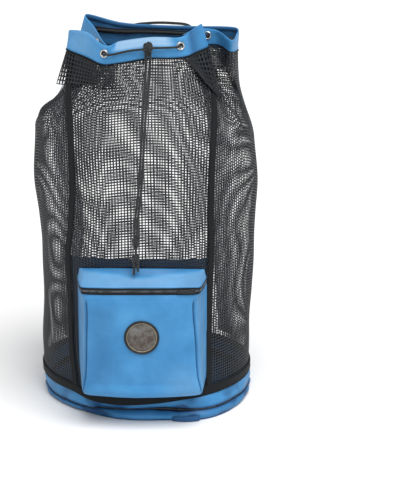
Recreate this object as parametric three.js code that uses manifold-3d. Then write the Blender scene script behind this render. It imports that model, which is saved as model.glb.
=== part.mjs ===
// A mesh backpack that stands on a round zipped base, with a gathered collar and a front pocket.
// Millimetres, +Z up. The front faces -Y, and the origin is on the floor under the middle of the bag.
import * as THREE from "three";
import { mergeVertices } from "three/addons/utils/BufferGeometryUtils.js";
import Module from "manifold-3d";

const wasm = await Module();
wasm.setup();

// Cloth and webbing thicknesses, and the gap that neighbouring pieces keep
const gap = 0.45;
const netThick = 1.6;
const nylonThick = 1.4;
const tapeThick = 1.4;
const strapThick = 7;

// Angles run round the bag in degrees: 0 is the front, 90 the right side, -90 the left side, 180 the back
const leftTapeAngle = -40;
const rightTapeAngle = 37;
const backSeamAngle = 135;
const tapeWidth = 12;

// The stuffed body: an upright tube of oval sections
const bodySections = [
  { z: 0, halfWidth: 199, halfDepth: 190, centreX: 1 },
  { z: 110, halfWidth: 201, halfDepth: 194, centreX: 0 },
  { z: 210, halfWidth: 201, halfDepth: 198, centreX: 4 },
  { z: 300, halfWidth: 203, halfDepth: 202, centreX: 5 },
  { z: 360, halfWidth: 208, halfDepth: 206, centreX: 4 },
  { z: 430, halfWidth: 212, halfDepth: 209, centreX: 3 },
  { z: 510, halfWidth: 207, halfDepth: 205, centreX: 1 },
  { z: 600, halfWidth: 203, halfDepth: 200, centreX: 1 },
  { z: 760, halfWidth: 200, halfDepth: 198, centreX: 1 },
];

// The gathered collar: each fold's angle on the body, its place along the seam and along the rim,
// and the height from which the net starts to draw in towards it
const collarFolds = [
  { fold: "front_middle", angle: 3, x: 15, y: -102, z: 671, rimX: 16, rimY: -103, rimZ: 706, from: 495 },
  { fold: "front_right", angle: 18, x: 58, y: -100, z: 671, rimX: 57, rimY: -100, rimZ: 706, from: 495 },
  { fold: "front_eyelet_right", angle: 27, x: 81, y: -90, z: 672, rimX: 77, rimY: -90, rimZ: 709, from: 495 },
  { fold: "right_lobe", angle: 37, x: 98, y: -74, z: 676, rimX: 89, rimY: -72, rimZ: 716, from: 495 },
  { fold: "right_lobe_tip", angle: 46, x: 121, y: -44, z: 682, rimX: 109, rimY: -40, rimZ: 723, from: 495 },
  { fold: "right_lobe_back", angle: 52, x: 105, y: -36, z: 680, rimX: 99, rimY: -33, rimZ: 714, from: 520 },
  { fold: "right_valley", angle: 61, x: 73, y: -40, z: 672, rimX: 75, rimY: -37, rimZ: 702, from: 540 },
  { fold: "right_eyelet", angle: 70, x: 104, y: -8, z: 677, rimX: 100, rimY: -4, rimZ: 707, from: 525 },
  { fold: "right_hollow", angle: 80, x: 139, y: -10, z: 679, rimX: 134, rimY: -8, rimZ: 706, from: 510 },
  { fold: "right_point", angle: 94, x: 161, y: -40, z: 672, rimX: 163, rimY: -54, rimZ: 695, from: 495 },
  { fold: "right_side", angle: 107, x: 173, y: 2, z: 665, rimX: 174, rimY: -4, rimZ: 697, from: 495 },
  { fold: "back_right_corner", angle: 120, x: 172, y: 48, z: 661, rimX: 173, rimY: 47, rimZ: 701, from: 495 },
  { fold: "back_right", angle: 150, x: 88, y: 63, z: 663, rimX: 87, rimY: 64, rimZ: 701, from: 495 },
  { fold: "back_middle", angle: 180, x: 12, y: 66, z: 665, rimX: 12, rimY: 67, rimZ: 703, from: 495 },
  { fold: "back_left", angle: 218, x: -50, y: 64, z: 670, rimX: -45, rimY: 65, rimZ: 708, from: 495 },
  { fold: "back_left_corner", angle: 242, x: -124, y: 52, z: 687, rimX: -110, rimY: 50, rimZ: 726, from: 495 },
  { fold: "left_side", angle: 265, x: -99, y: 6, z: 675, rimX: -92, rimY: 3, rimZ: 710, from: 515 },
  { fold: "left_eyelet", angle: 283, x: -71, y: -40, z: 662, rimX: -76, rimY: -42, rimZ: 694, from: 540 },
  { fold: "left_valley", angle: 291, x: -56, y: -73, z: 658, rimX: -63, rimY: -69, rimZ: 683, from: 565 },
  { fold: "left_lobe_inner", angle: 299, x: -88, y: -53, z: 666, rimX: -90, rimY: -49, rimZ: 690, from: 550 },
  { fold: "left_lobe_back", angle: 308, x: -122, y: -34, z: 676, rimX: -118, rimY: -32, rimZ: 703, from: 520 },
  { fold: "left_lobe_tip", angle: 315, x: -140, y: -44, z: 678, rimX: -135, rimY: -42, rimZ: 711, from: 495 },
  { fold: "left_lobe", angle: 328, x: -101, y: -78, z: 668, rimX: -99, rimY: -76, rimZ: 703, from: 495 },
  { fold: "front_eyelet_left", angle: 338, x: -70, y: -99, z: 659, rimX: -66, rimY: -98, rimZ: 693, from: 495 },
  { fold: "front_left", angle: 347, x: -39, y: -105, z: 663, rimX: -35, rimY: -106, rimZ: 700, from: 495 },
];

// The base by angle: how tall its blue band is, how far up it the zip runs, and how far its foot flares out
const baseRows = [
  { angle: 0, top: 40, zipShare: 0.55, flare: 1 },
  { angle: 12, top: 43, zipShare: 0.5, flare: 4 },
  { angle: 20, top: 45, zipShare: 0.45, flare: 14 },
  { angle: 30, top: 46, zipShare: 0.4, flare: 25 },
  { angle: 42, top: 47, zipShare: 0.38, flare: 25 },
  { angle: 60, top: 47, zipShare: 0.37, flare: 14 },
  { angle: 90, top: 46, zipShare: 0.36, flare: 2 },
  { angle: 180, top: 42, zipShare: 0.45, flare: 0 },
  { angle: 270, top: 49, zipShare: 0.28, flare: 0 },
  { angle: 300, top: 49, zipShare: 0.27, flare: -6 },
  { angle: 318, top: 48, zipShare: 0.27, flare: -9 },
  { angle: 330, top: 39, zipShare: 0.38, flare: -5 },
  { angle: 345, top: 37, zipShare: 0.52, flare: 0 },
  { angle: 360, top: 40, zipShare: 0.55, flare: 1 },
];
const baseSection = bodySections[0];
const baseZipHalf = 5;
const bindingBelow = 5;
const bindingAbove = 12;
// Under the front the zip is tucked in: how deep, between which angles, and how fast the tuck fades out
const zipTuck = { rest: 1.5, depth: 9, left: -31, leftFade: 4, right: 26, rightFade: 18 };

// The front pocket by height: where its front face stands, and where its edges and roots are
const pocketRows = [
  { z: 62, front: -205, left: -100, right: 102, leftRoot: -108, rightRoot: 107 },
  { z: 67, front: -222, left: -106, right: 107, leftRoot: -113, rightRoot: 112 },
  { z: 80, front: -234, left: -109, right: 108, leftRoot: -117, rightRoot: 116 },
  { z: 110, front: -238, left: -104, right: 102, leftRoot: -119, rightRoot: 117 },
  { z: 180, front: -239, left: -101, right: 98, leftRoot: -119, rightRoot: 117 },
  { z: 250, front: -239, left: -100, right: 94, leftRoot: -119, rightRoot: 117 },
  { z: 269, front: -236, left: -107, right: 103, leftRoot: -119, rightRoot: 117 },
  { z: 282, front: -231, left: -108, right: 105, leftRoot: -119, rightRoot: 116 },
];
// The pouch closes underneath, bulges most at its foot, and its sloping top droops towards its ends
const pocketFoot = { z: 60.4, bulge: 15, rise: 30, shut: 0.06 };
const pocketZip = { low: 269, high: 282 };
const pocketLid = { z: 305, narrow: 0.97, halfWidth: 110, droop: 10, clear: 1.5 };
const pocketBulge = 3;
const backing = { foot: 52, top: 321, droop: 10, inset: 3 };
const badge = { x: 0, z: 186, radius: 32, thick: 2.2, rim: 3.5, rimRise: 0.8 };

// Eyelets in the collar, in the order that the cord runs through them,
// and the length of cord that lies along the collar ahead of each eyelet and after it
const eyelet = { hole: 4.9, barrel: 5.4, flange: 8, offset: 1.7, plate: 0.8, up: 0.6 };
const eyelets = [
  { name: "eyelet_front_left", angle: 338, lead: 12, follow: 12 },
  { name: "eyelet_left_fold", angle: 303, lead: 12, follow: 0 },
  { name: "eyelet_left_side", angle: 276, lead: 0, follow: 12 },
  { name: "eyelet_right_side", angle: 75, lead: 12, follow: 0 },
  { name: "eyelet_right_fold", angle: 56, lead: 0, follow: 12 },
  { name: "eyelet_front_right", angle: 23, lead: 12, follow: 12 },
];
const cordRadius = 2;
const frontKnot = { x: 12, y: -112, z: 691 };

const colours = {
  nylon: new THREE.MeshStandardMaterial({ color: 0x4b93cf, roughness: 0.55 }),
  webbing: new THREE.MeshStandardMaterial({ color: 0x1d1f21, roughness: 0.8 }),
  net: new THREE.MeshStandardMaterial({ color: 0x26282a, roughness: 0.5 }),
  zip: new THREE.MeshStandardMaterial({ color: 0x17181a, roughness: 0.4 }),
  rubber: new THREE.MeshStandardMaterial({ color: 0x5c5450, roughness: 0.6 }),
  nickel: new THREE.MeshStandardMaterial({ color: 0xc8c8c4, roughness: 0.25, metalness: 1 }),
  cord: new THREE.MeshStandardMaterial({ color: 0x202322, roughness: 0.85 }),
};

const bag = new THREE.Group();

function add(name, geometry, material) {
  const mesh = new THREE.Mesh(geometry, material);
  mesh.name = name;
  bag.add(mesh);
  return mesh;
}

const mix = (a, b, share) => a + (b - a) * share;
const smooth = (share) => {
  const s = THREE.MathUtils.clamp(share, 0, 1);
  return s * s * (3 - 2 * s);
};
const turn = (angle) => ((angle % 360) + 360) % 360;

// A column of a table at a place along its key, on a smooth curve through the rows
function along(rows, key, column, at) {
  const last = rows.length - 1;
  let i = 0;
  while (i < last - 1 && at > rows[i + 1][key]) i++;
  const slope = (a, b) => (rows[b][column] - rows[a][column]) / (rows[b][key] - rows[a][key]);
  const span = rows[i + 1][key] - rows[i][key];
  const startSlope = slope(Math.max(i - 1, 0), i + 1);
  const endSlope = slope(i, Math.min(i + 2, last));
  const s = THREE.MathUtils.clamp((at - rows[i][key]) / span, 0, 1);
  const bend = s * (1 - s) * span;
  return mix(rows[i][column], rows[i + 1][column], s * s * (3 - 2 * s))
    + bend * ((1 - s) * startSlope - s * endSlope);
}

const seamCurve = new THREE.CatmullRomCurve3(
  collarFolds.map((f) => new THREE.Vector3(f.x, f.y, f.z)), true, "centripetal");
const rimCurve = new THREE.CatmullRomCurve3(
  collarFolds.map((f) => new THREE.Vector3(f.rimX, f.rimY, f.rimZ)), true, "centripetal");

// How far round the list of folds an angle is: a whole number at each fold, with a share between two folds
function foldAt(angle) {
  const count = collarFolds.length;
  const first = collarFolds[0].angle;
  const at = first + turn(angle - first);
  let i = 0;
  while (i < count - 1 && at >= collarFolds[i + 1].angle) i++;
  const end = i < count - 1 ? collarFolds[i + 1].angle : first + 360;
  return { index: i, share: (at - collarFolds[i].angle) / (end - collarFolds[i].angle) };
}

function foldPoint(curve, angle) {
  const { index, share } = foldAt(angle);
  return curve.getPoint((index + share) / collarFolds.length);
}

function gatherFrom(angle) {
  const { index, share } = foldAt(angle);
  const next = collarFolds[(index + 1) % collarFolds.length];
  return mix(collarFolds[index].from, next.from, share);
}

// A point of the round body, before the collar draws it in
function roundPoint(angle, z, out = 0) {
  const a = THREE.MathUtils.degToRad(angle);
  const halfWidth = along(bodySections, "z", "halfWidth", z) + out;
  const halfDepth = along(bodySections, "z", "halfDepth", z) + out;
  const centreX = along(bodySections, "z", "centreX", z);
  return new THREE.Vector3(centreX + halfWidth * Math.sin(a), -halfDepth * Math.cos(a), z);
}

// A point of the net: round below, drawn in to the collar's folds above
function netPoint(angle, z) {
  const seam = foldPoint(seamCurve, angle);
  const from = gatherFrom(angle);
  const drawn = new THREE.Vector3(seam.x, seam.y, z);
  return roundPoint(angle, z).lerp(drawn, smooth((z - from) / (seam.z - from)));
}

function collarPoint(angle, up) {
  return foldPoint(seamCurve, angle).lerp(foldPoint(rimCurve, angle), up);
}

// The outward direction of a sheet at a place on it
function outward(point, u, v) {
  const step = 0.002;
  const [u0, u1] = [Math.max(u - step, 0), Math.min(u + step, 1)];
  const [v0, v1] = [Math.max(v - step, 0), Math.min(v + step, 1)];
  const across = point(u1, v).sub(point(u0, v));
  return across.cross(point(u, v1).sub(point(u, v0))).normalize();
}

// A cloth wall: the sheet point(u, v), for u across and v up from 0 to 1, half its thickness to each side
function clothWall({ point, columns, rows, thick, ring = false, out = 0 }) {
  const wide = ring ? columns : columns + 1;
  const count = wide * (rows + 1);
  const positions = [];
  for (const side of [0.5, -0.5])
    for (let row = 0; row <= rows; row++)
      for (let column = 0; column < wide; column++) {
        const [u, v] = [column / columns, row / rows];
        const depth = typeof thick === "function" ? thick(u, v) : thick;
        const normal = outward(point, u, v);
        positions.push(...point(u, v).addScaledVector(normal, out + side * depth));
      }
  const faces = [];
  const quad = (a, b, c, d) => faces.push(a, b, c, a, c, d);
  const outer = (column, row) => row * wide + (column % wide);
  const inner = (column, row) => count + outer(column, row);
  for (let column = 0; column < columns; column++) {
    const next = column + 1;
    for (let row = 0; row < rows; row++) {
      quad(outer(column, row), outer(next, row), outer(next, row + 1), outer(column, row + 1));
      quad(inner(column, row), inner(column, row + 1), inner(next, row + 1), inner(next, row));
    }
    quad(inner(column, 0), inner(next, 0), outer(next, 0), outer(column, 0));
    quad(outer(column, rows), outer(next, rows), inner(next, rows), inner(column, rows));
  }
  for (let row = 0; row < rows && !ring; row++) {
    quad(inner(0, row), outer(0, row), outer(0, row + 1), inner(0, row + 1));
    quad(outer(columns, row), inner(columns, row), inner(columns, row + 1), outer(columns, row + 1));
  }
  const geometry = new THREE.BufferGeometry();
  geometry.setAttribute("position", new THREE.Float32BufferAttribute(positions, 3));
  geometry.setIndex(faces);
  return geometry;
}

function solidOf(geometry) {
  const bare = geometry.clone();
  bare.deleteAttribute("normal");
  bare.deleteAttribute("uv");
  const merged = mergeVertices(bare, 1e-3);
  return new wasm.Manifold(new wasm.Mesh({
    numProp: 3,
    vertProperties: merged.attributes.position.array,
    triVerts: new Uint32Array(merged.index.array),
  }));
}

function geometryOf(solid) {
  const mesh = solid.getMesh();
  const geometry = new THREE.BufferGeometry();
  geometry.setAttribute("position", new THREE.BufferAttribute(mesh.vertProperties, 3));
  geometry.setIndex(new THREE.BufferAttribute(mesh.triVerts, 1));
  return geometry;
}

// Turns and moves a shape made round +Y so that +Y lies along a direction
function standAlong(geometry, place, direction) {
  const upright = new THREE.Quaternion().setFromUnitVectors(new THREE.Vector3(0, 1, 0), direction);
  return geometry.applyQuaternion(upright).translate(place.x, place.y, place.z);
}

// The round base: a floor, two walls with the folding zip between them, and a binding over the seam
const bandTop = (angle) => along(baseRows, "angle", "top", turn(angle));
const ringAngle = (u) => u * 360;
const footFlare = (angle, z) =>
  along(baseRows, "angle", "flare", turn(angle)) * Math.max(1 - z / bandTop(angle), 0);

function basePoint(angle, z, out) {
  const a = THREE.MathUtils.degToRad(angle);
  const reach = out + footFlare(angle, z);
  return new THREE.Vector3(
    baseSection.centreX + (baseSection.halfWidth + reach) * Math.sin(a),
    -(baseSection.halfDepth + reach) * Math.cos(a), z);
}

function zipDepth(angle) {
  const front = turn(angle + 180) - 180;
  const fromLeft = smooth((front - zipTuck.left) / zipTuck.leftFade);
  const fromRight = smooth((zipTuck.right - front) / zipTuck.rightFade);
  return zipTuck.rest + zipTuck.depth * fromLeft * fromRight;
}

function buildBase() {
  const floorThick = 2;
  const floorInset = 6.6;
  const wallFoot = { z: 1.2, inset: 5 };
  const zipSlot = 1.6;
  const lowerBulge = 4.5;
  const upperBulge = 1.5;
  const ringColumns = 44;
  const outline = Array.from({ length: ringColumns }, (_, i) => {
    const { x, y } = basePoint(ringAngle(i / ringColumns), 0, -floorInset);
    return new THREE.Vector2(x, y);
  });
  add("base_floor", new THREE.ExtrudeGeometry(new THREE.Shape(outline),
    { depth: floorThick, bevelEnabled: false }), colours.nylon);
  const zipAt = (angle) => bandTop(angle) * along(baseRows, "angle", "zipShare", turn(angle));
  const lower = (u, v) => {
    const angle = ringAngle(u);
    const out = mix(-wallFoot.inset, -zipDepth(angle), v) + lowerBulge * Math.sin(Math.PI * v);
    return basePoint(angle, mix(wallFoot.z, zipAt(angle) - zipSlot, v), out);
  };
  const upper = (u, v) => {
    const angle = ringAngle(u);
    const out = mix(-zipDepth(angle), 0, Math.pow(v, 0.7)) + upperBulge * Math.sin(Math.PI * v);
    return basePoint(angle, mix(zipAt(angle) + zipSlot, bandTop(angle), v), out);
  };
  const zipTape = (u, v) => {
    const angle = ringAngle(u);
    const behind = nylonThick / 2 + gap + tapeThick / 2 + 0.6;
    return basePoint(angle, zipAt(angle) + baseZipHalf * (2 * v - 1), -zipDepth(angle) - behind);
  };
  const binding = (u, v) => {
    const angle = ringAngle(u);
    const z = bandTop(angle) + mix(-bindingBelow, bindingAbove, v);
    const out = netThick / 2 + gap + tapeThick / 2 + 0.3;
    return roundPoint(angle, z, out + Math.max(footFlare(angle, z), 0));
  };
  const band = (point, rows, thick) => clothWall({ point, columns: ringColumns, rows, thick, ring: true });
  add("base_wall_lower", band(lower, 2, nylonThick), colours.nylon);
  add("base_wall_upper", band(upper, 2, nylonThick), colours.nylon);
  add("base_zip", band(zipTape, 1, tapeThick), colours.zip);
  add("base_binding", band(binding, 1, tapeThick), colours.webbing);
  const loop = { start: 15, end: 28, low: 1.6, high: 11, sewn: 3.6, slack: 1.5 };
  const grab = (u, v) => basePoint(mix(loop.start, loop.end, u), mix(loop.low, loop.high, v),
    loop.sewn + loop.slack * Math.sin(Math.PI * u));
  add("base_grab_loop", clothWall({ point: grab, columns: 5, rows: 1, thick: tapeThick }), colours.nylon);
}

// The net body in four panels, and the tapes over the two front seams
const seamDrop = 1.8;
const netFoot = (angle) => bandTop(angle) + 1;
const netTop = (angle) => foldPoint(seamCurve, angle).z - seamDrop;
// Rows lie closer together near the collar
const rowShare = (v) => 1 - Math.pow(1 - v, 1.5);

function netPanel(start, end) {
  return (u, v) => {
    const angle = mix(start, end, u);
    return netPoint(angle, mix(netFoot(angle), netTop(angle), rowShare(v)));
  };
}

function buildNet() {
  const seamGap = 0.15;
  const columnSpan = 6;
  const netRows = 9;
  const panels = [
    { name: "front_net", start: leftTapeAngle, end: rightTapeAngle },
    { name: "right_net", start: rightTapeAngle, end: backSeamAngle },
    { name: "back_net", start: backSeamAngle, end: 360 - backSeamAngle },
    { name: "left_net", start: -backSeamAngle, end: leftTapeAngle },
  ];
  for (const { name, start, end } of panels) {
    const columns = Math.ceil((end - start) / columnSpan);
    const point = netPanel(start + seamGap, end - seamGap);
    add(name, clothWall({ point, columns, rows: netRows, thick: netThick }), colours.net);
  }
  const tapes = [
    { name: "front_tape_left", angle: leftTapeAngle },
    { name: "front_tape_right", angle: rightTapeAngle },
  ];
  const tapeOut = netThick / 2 + gap + tapeThick / 2 + 0.6;
  for (const { name, angle } of tapes) {
    const halfTurn = THREE.MathUtils.radToDeg(tapeWidth / 2 / baseSection.halfWidth);
    const point = (u, v) => {
      const at = angle + halfTurn * (2 * u - 1);
      const low = bandTop(at) + bindingAbove + gap;
      return netPoint(at, mix(low, netTop(at), rowShare(v)));
    };
    const wall = clothWall({ point, columns: 2, rows: netRows, thick: tapeThick, out: tapeOut });
    add(name, wall, colours.webbing);
  }
}

// The front pocket: a gusseted pouch that opens along a zip under its sloping top
function netFront(x, z) {
  const halfWidth = along(bodySections, "z", "halfWidth", z);
  const a = Math.asin((x - along(bodySections, "z", "centreX", z)) / halfWidth);
  return -along(bodySections, "z", "halfDepth", z) * Math.cos(a);
}

// Across the pocket: which side, how far from the edge out to the root, and how far forward
const pocketAcross = [
  { side: -1, root: 1, forward: 0 },
  { side: -1, root: 0.35, forward: 0.75 },
  { side: -1, root: 0, forward: 0.97 },
  { side: -0.9, root: 0, forward: 1 },
  { side: -0.45, root: 0, forward: 1 },
  { side: 0, root: 0, forward: 1 },
  { side: 0.45, root: 0, forward: 1 },
  { side: 0.9, root: 0, forward: 1 },
  { side: 1, root: 0, forward: 0.97 },
  { side: 1, root: 0.35, forward: 0.75 },
  { side: 1, root: 1, forward: 0 },
].map((row, step) => ({ ...row, step }));

const pocketClear = netThick / 2 + gap + nylonThick / 2 + 0.5;

function pocketPoint(u, z) {
  const step = u * (pocketAcross.length - 1);
  const [low, high] = [Math.floor(step), Math.min(Math.floor(step) + 1, pocketAcross.length - 1)];
  const at = (column) => mix(pocketAcross[low][column], pocketAcross[high][column], step - low);
  const row = (column) => along(pocketRows, "z", column, z);
  const [side, root] = [at("side"), at("root")];
  const edge = side < 0 ? mix(row("left"), row("leftRoot"), root) : mix(row("right"), row("rightRoot"), root);
  const x = Math.abs(side) * edge;
  const back = netFront(x, z) - pocketClear;
  const bulge = pocketBulge + pocketFoot.bulge * Math.max(1 - (z - pocketRows[0].z) / pocketFoot.rise, 0);
  const front = row("front") - bulge * (1 - side * side);
  const open = mix(pocketFoot.shut, 1, Math.min((z - pocketFoot.z) / (pocketRows[0].z - pocketFoot.z), 1));
  return new THREE.Vector3(x, mix(back, Math.min(front, back), at("forward") * open), z);
}

// The sloping top, from the zip straight back to the net
function lidPoint(u, v) {
  const start = pocketPoint(u, pocketZip.high);
  const x = start.x * mix(1, pocketLid.narrow, v);
  const edge = pocketLid.z - pocketLid.droop * Math.pow(start.x / pocketLid.halfWidth, 2);
  const z = mix(pocketZip.high, edge, v);
  return new THREE.Vector3(x, mix(start.y, netFront(x, z) - pocketClear - pocketLid.clear, v), z);
}

function buildPocket() {
  const columns = pocketAcross.length - 1;
  const levels = [pocketFoot, ...pocketRows.slice(0, -1)].map(({ z }) => z);
  const body = (u, v) => {
    const step = v * (levels.length - 1);
    const low = Math.min(Math.floor(step), levels.length - 2);
    return pocketPoint(u, mix(levels[low], levels[low + 1], step - low));
  };
  const zip = (u, v) => pocketPoint(u, mix(pocketZip.low + gap, pocketZip.high - 2 * gap, v));
  add("pocket_body", clothWall({
    point: body, columns, rows: levels.length - 1, thick: nylonThick }), colours.nylon);
  add("pocket_zip", clothWall({ point: zip, columns, rows: 1, thick: tapeThick }), colours.zip);
  add("pocket_top", clothWall({ point: lidPoint, columns, rows: 2, thick: nylonThick }), colours.nylon);
  const panel = (u, v) => {
    const angle = mix(leftTapeAngle + backing.inset, rightTapeAngle - backing.inset, u);
    return netPoint(angle, mix(backing.foot, backing.top - backing.droop * Math.pow(2 * u - 1, 2), v));
  };
  add("pocket_backing", clothWall({
    point: panel, columns: 10, rows: 3, thick: nylonThick, out: -pocketClear }), colours.nylon);

  const badgeProfile = [
    [0, 0], [badge.radius, 0], [badge.radius, badge.thick + badge.rimRise],
    [badge.radius - badge.rim, badge.thick + badge.rimRise], [badge.radius - badge.rim, badge.thick],
    [0, badge.thick],
  ].map(([r, h]) => new THREE.Vector2(r, h));
  const badgeBack = pocketRows[4].front - pocketBulge - nylonThick / 2 - gap;
  add("pocket_badge", standAlong(new THREE.LatheGeometry(badgeProfile, 32),
    new THREE.Vector3(badge.x, badgeBack, badge.z), new THREE.Vector3(0, -1, 0)), colours.rubber);

  // The zip's slider, with its pull laid along the zip
  const pull = { x: 92, z: 275.5, head: 4, length: 24, tab: 3.1, thick: 2.4, slider: 9, deep: 5.5, out: 5 };
  const tab = new THREE.Shape();
  tab.absarc(0, 0, pull.head, 0, Math.PI, false);
  tab.lineTo(-pull.tab, -pull.length);
  tab.absarc(0, -pull.length, pull.tab, Math.PI, 2 * Math.PI, false);
  const laid = new THREE.ExtrudeGeometry(tab, { depth: pull.thick, bevelEnabled: false, curveSegments: 6 });
  const zipFace = pocketPoint(0.7, pull.z - pull.slider / 2).y - tapeThick / 2 - gap;
  laid.rotateZ(-Math.PI / 2).rotateX(Math.PI / 2).translate(pull.x, zipFace - pull.out, pull.z);
  const slider = new THREE.BoxGeometry(pull.slider, pull.deep, pull.slider);
  slider.translate(pull.x, zipFace - pull.deep / 2, pull.z);
  add("pocket_zip_pull", geometryOf(solidOf(laid).add(solidOf(slider))), colours.zip);
}

// The collar, its eyelets, the tape inside its back and the haul loop above it
function collarSide(angle, up) {
  const sheet = (u, v) => collarPoint(u * 360, v);
  return outward(sheet, turn(angle) / 360, up);
}

// The tape inside the collar's back, which the cord follows: how far up the collar its middle lies
const anchorRows = [
  { angle: 150, up: 0.62 },
  { angle: 180, up: 0.62 },
  { angle: 215, up: 0.54 },
  { angle: 232, up: 0.34 },
];
const anchorHalf = 0.11;
const anchorUp = (angle) => along(anchorRows, "angle", "up", angle);

const collarPlace = (angle, up, out) => collarPoint(angle, up).addScaledVector(collarSide(angle, up), out);

function buildCollar() {
  const columnsPerFold = 4;
  const band = (u, v) => seamCurve.getPoint(u).lerp(rimCurve.getPoint(u), v);
  let solid = solidOf(clothWall({ point: band, columns: columnsPerFold * collarFolds.length, rows: 1,
    thick: nylonThick, ring: true }));
  const profile = [
    [eyelet.hole, -eyelet.offset - eyelet.plate], [eyelet.flange, -eyelet.offset - eyelet.plate],
    [eyelet.flange, -eyelet.offset], [eyelet.barrel, -eyelet.offset], [eyelet.barrel, eyelet.offset],
    [eyelet.flange, eyelet.offset], [eyelet.flange, eyelet.offset + eyelet.plate],
    [eyelet.hole, eyelet.offset + eyelet.plate], [eyelet.hole, -eyelet.offset - eyelet.plate],
  ].map(([r, h]) => new THREE.Vector2(r, h));
  for (const { name, angle } of eyelets) {
    const place = collarPoint(angle, eyelet.up);
    const side = collarSide(angle, eyelet.up);
    const drill = new THREE.CylinderGeometry(eyelet.barrel + gap, eyelet.barrel + gap, 14, 12);
    solid = solid.subtract(solidOf(standAlong(drill, place, side)));
    add(name, standAlong(new THREE.LatheGeometry(profile, 12), place, side), colours.nickel);
  }
  add("collar", geometryOf(solid), colours.nylon);

  const anchor = (u, v) => {
    const angle = mix(anchorRows[0].angle, anchorRows.at(-1).angle, u);
    return collarPoint(angle, anchorUp(angle) + anchorHalf * (2 * v - 1));
  };
  add("collar_anchor_tape", clothWall({ point: anchor, columns: 10, rows: 1, thick: tapeThick,
    out: -nylonThick / 2 - gap - tapeThick / 2 - 0.4 }), colours.webbing);

  const loopPath = new THREE.CatmullRomCurve3([
    [-40, 668], [-38, 688], [-24, 700], [10, 705], [50, 705], [84, 700], [96, 686], [98, 666],
  ].map(([x, z]) => new THREE.Vector3(x, 0, z)), false, "centripetal");
  const loop = { near: 68.5, width: 22 };
  const arch = (u, v) => loopPath.getPoint(v).add(new THREE.Vector3(0, loop.near + loop.width * u, 0));
  add("haul_loop", clothWall({ point: arch, columns: 1, rows: 14, thick: tapeThick }), colours.webbing);
}

const cordSection = new THREE.Shape().absarc(0, 0, cordRadius, 0, 2 * Math.PI);

// The drawcord: out over the front, in and out through the eyelets, and inside along the back
function buildCord() {
  const clear = nylonThick / 2 + cordRadius + 1.8;
  const lift = 6;
  const inside = 1.8;
  const held = [collarPlace(-1.5, 0.6, 6.5), collarPlace(-8, 0.58, clear)];
  eyelets.forEach(({ angle, lead, follow }, i) => {
    const side = i % 2 === 0 ? 1 : -1;
    const middle = collarPoint(angle, eyelet.up);
    const normal = collarSide(angle, eyelet.up);
    const onward = collarPoint(angle - 1, eyelet.up).sub(collarPoint(angle + 1, eyelet.up)).normalize();
    // How the cord goes through: along the collar, and out from its middle
    const threading = [
      { ahead: -lead, out: clear }, { ahead: -5, out: lift }, { ahead: -0.6, out: 2 },
      { ahead: 0.6, out: -2 }, { ahead: 5, out: -lift }, { ahead: follow, out: -clear },
    ].filter(({ ahead }) => ahead !== 0);
    for (const { ahead, out } of threading)
      held.push(middle.clone().addScaledVector(onward, ahead).addScaledVector(normal, out * side));
    if (i === 2)
      for (const at of [262, 250, 241, 232, 215, 195, 175, 155, 135, 122, 113])
        held.push(collarPlace(at, at > 235 || at < 145 ? 0.5 : anchorUp(at), -clear - inside));
  });
  held.push(collarPlace(14, 0.59, clear), collarPlace(8, 0.6, 6.5));
  // Two steps between each pair of points, so the steps are shortest at the eyelets
  const path = new THREE.CatmullRomCurve3(held, false, "centripetal");
  path.getUtoTmapping = (share) => share;
  const steps = 2 * (held.length - 1);
  add("drawcord", new THREE.ExtrudeGeometry(cordSection,
    { steps, curveSegments: 3, bevelEnabled: false, extrudePath: path }), colours.cord);

  const knotProfile = [[0, -13], [4, -12], [6, -6], [6.6, 1], [5, 8], [2.4, 12], [0, 13]];
  const knot = new THREE.LatheGeometry(knotProfile.map(([r, h]) => new THREE.Vector2(r, h)), 10);
  knot.rotateX(Math.PI / 2).translate(frontKnot.x, frontKnot.y, frontKnot.z);
  add("drawcord_knot", knot, colours.cord);
}

function buildTails() {
  // Where the pair of tails hangs, from the front knot down over the net, and how far it stands off the net
  const hang = [
    { z: 676, x: 12, stand: 2.4 }, { z: 655, x: 11.5, stand: 2.4 }, { z: 630, x: 10, stand: 2.4 },
    { z: 600, x: 7.5, stand: 2.4 }, { z: 560, x: 5, stand: 2.4 }, { z: 520, x: 3, stand: 1.2 },
    { z: 470, x: 0, stand: 0 }, { z: 430, x: -4, stand: 1 }, { z: 400, x: -8, stand: 4.5 },
    { z: 377, x: -9.4, stand: 8 },
  ];
  const rest = netThick / 2 + cordRadius + 1.2;
  for (const [name, aside] of [["cord_tail_left", -2.5], ["cord_tail_right", 2.5]]) {
    const points = hang.map(({ z, x, stand }) => {
      const lean = netPoint(THREE.MathUtils.radToDeg(Math.asin((x - 2) / 205)), z);
      return new THREE.Vector3(x + aside, lean.y - rest - stand, z);
    });
    points[0].y = frontKnot.y;
    add(name, new THREE.ExtrudeGeometry(cordSection, { steps: 30, curveSegments: 4, bevelEnabled: false,
      extrudePath: new THREE.CatmullRomCurve3(points, false, "centripetal") }), colours.cord);
  }
  const bulges = [
    [0, 299], [2.4, 300], [3.4, 308], [6.6, 320], [7, 330],
    [3.6, 342], [6, 352], [6.2, 362], [4.2, 372], [0, 376],
  ];
  const knot = new THREE.LatheGeometry(bulges.map(([r, h]) => new THREE.Vector2(r, h)), 10);
  knot.rotateX(Math.PI / 2).translate(-10, -219, 0);
  add("tail_knot", knot, colours.cord);
}

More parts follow.
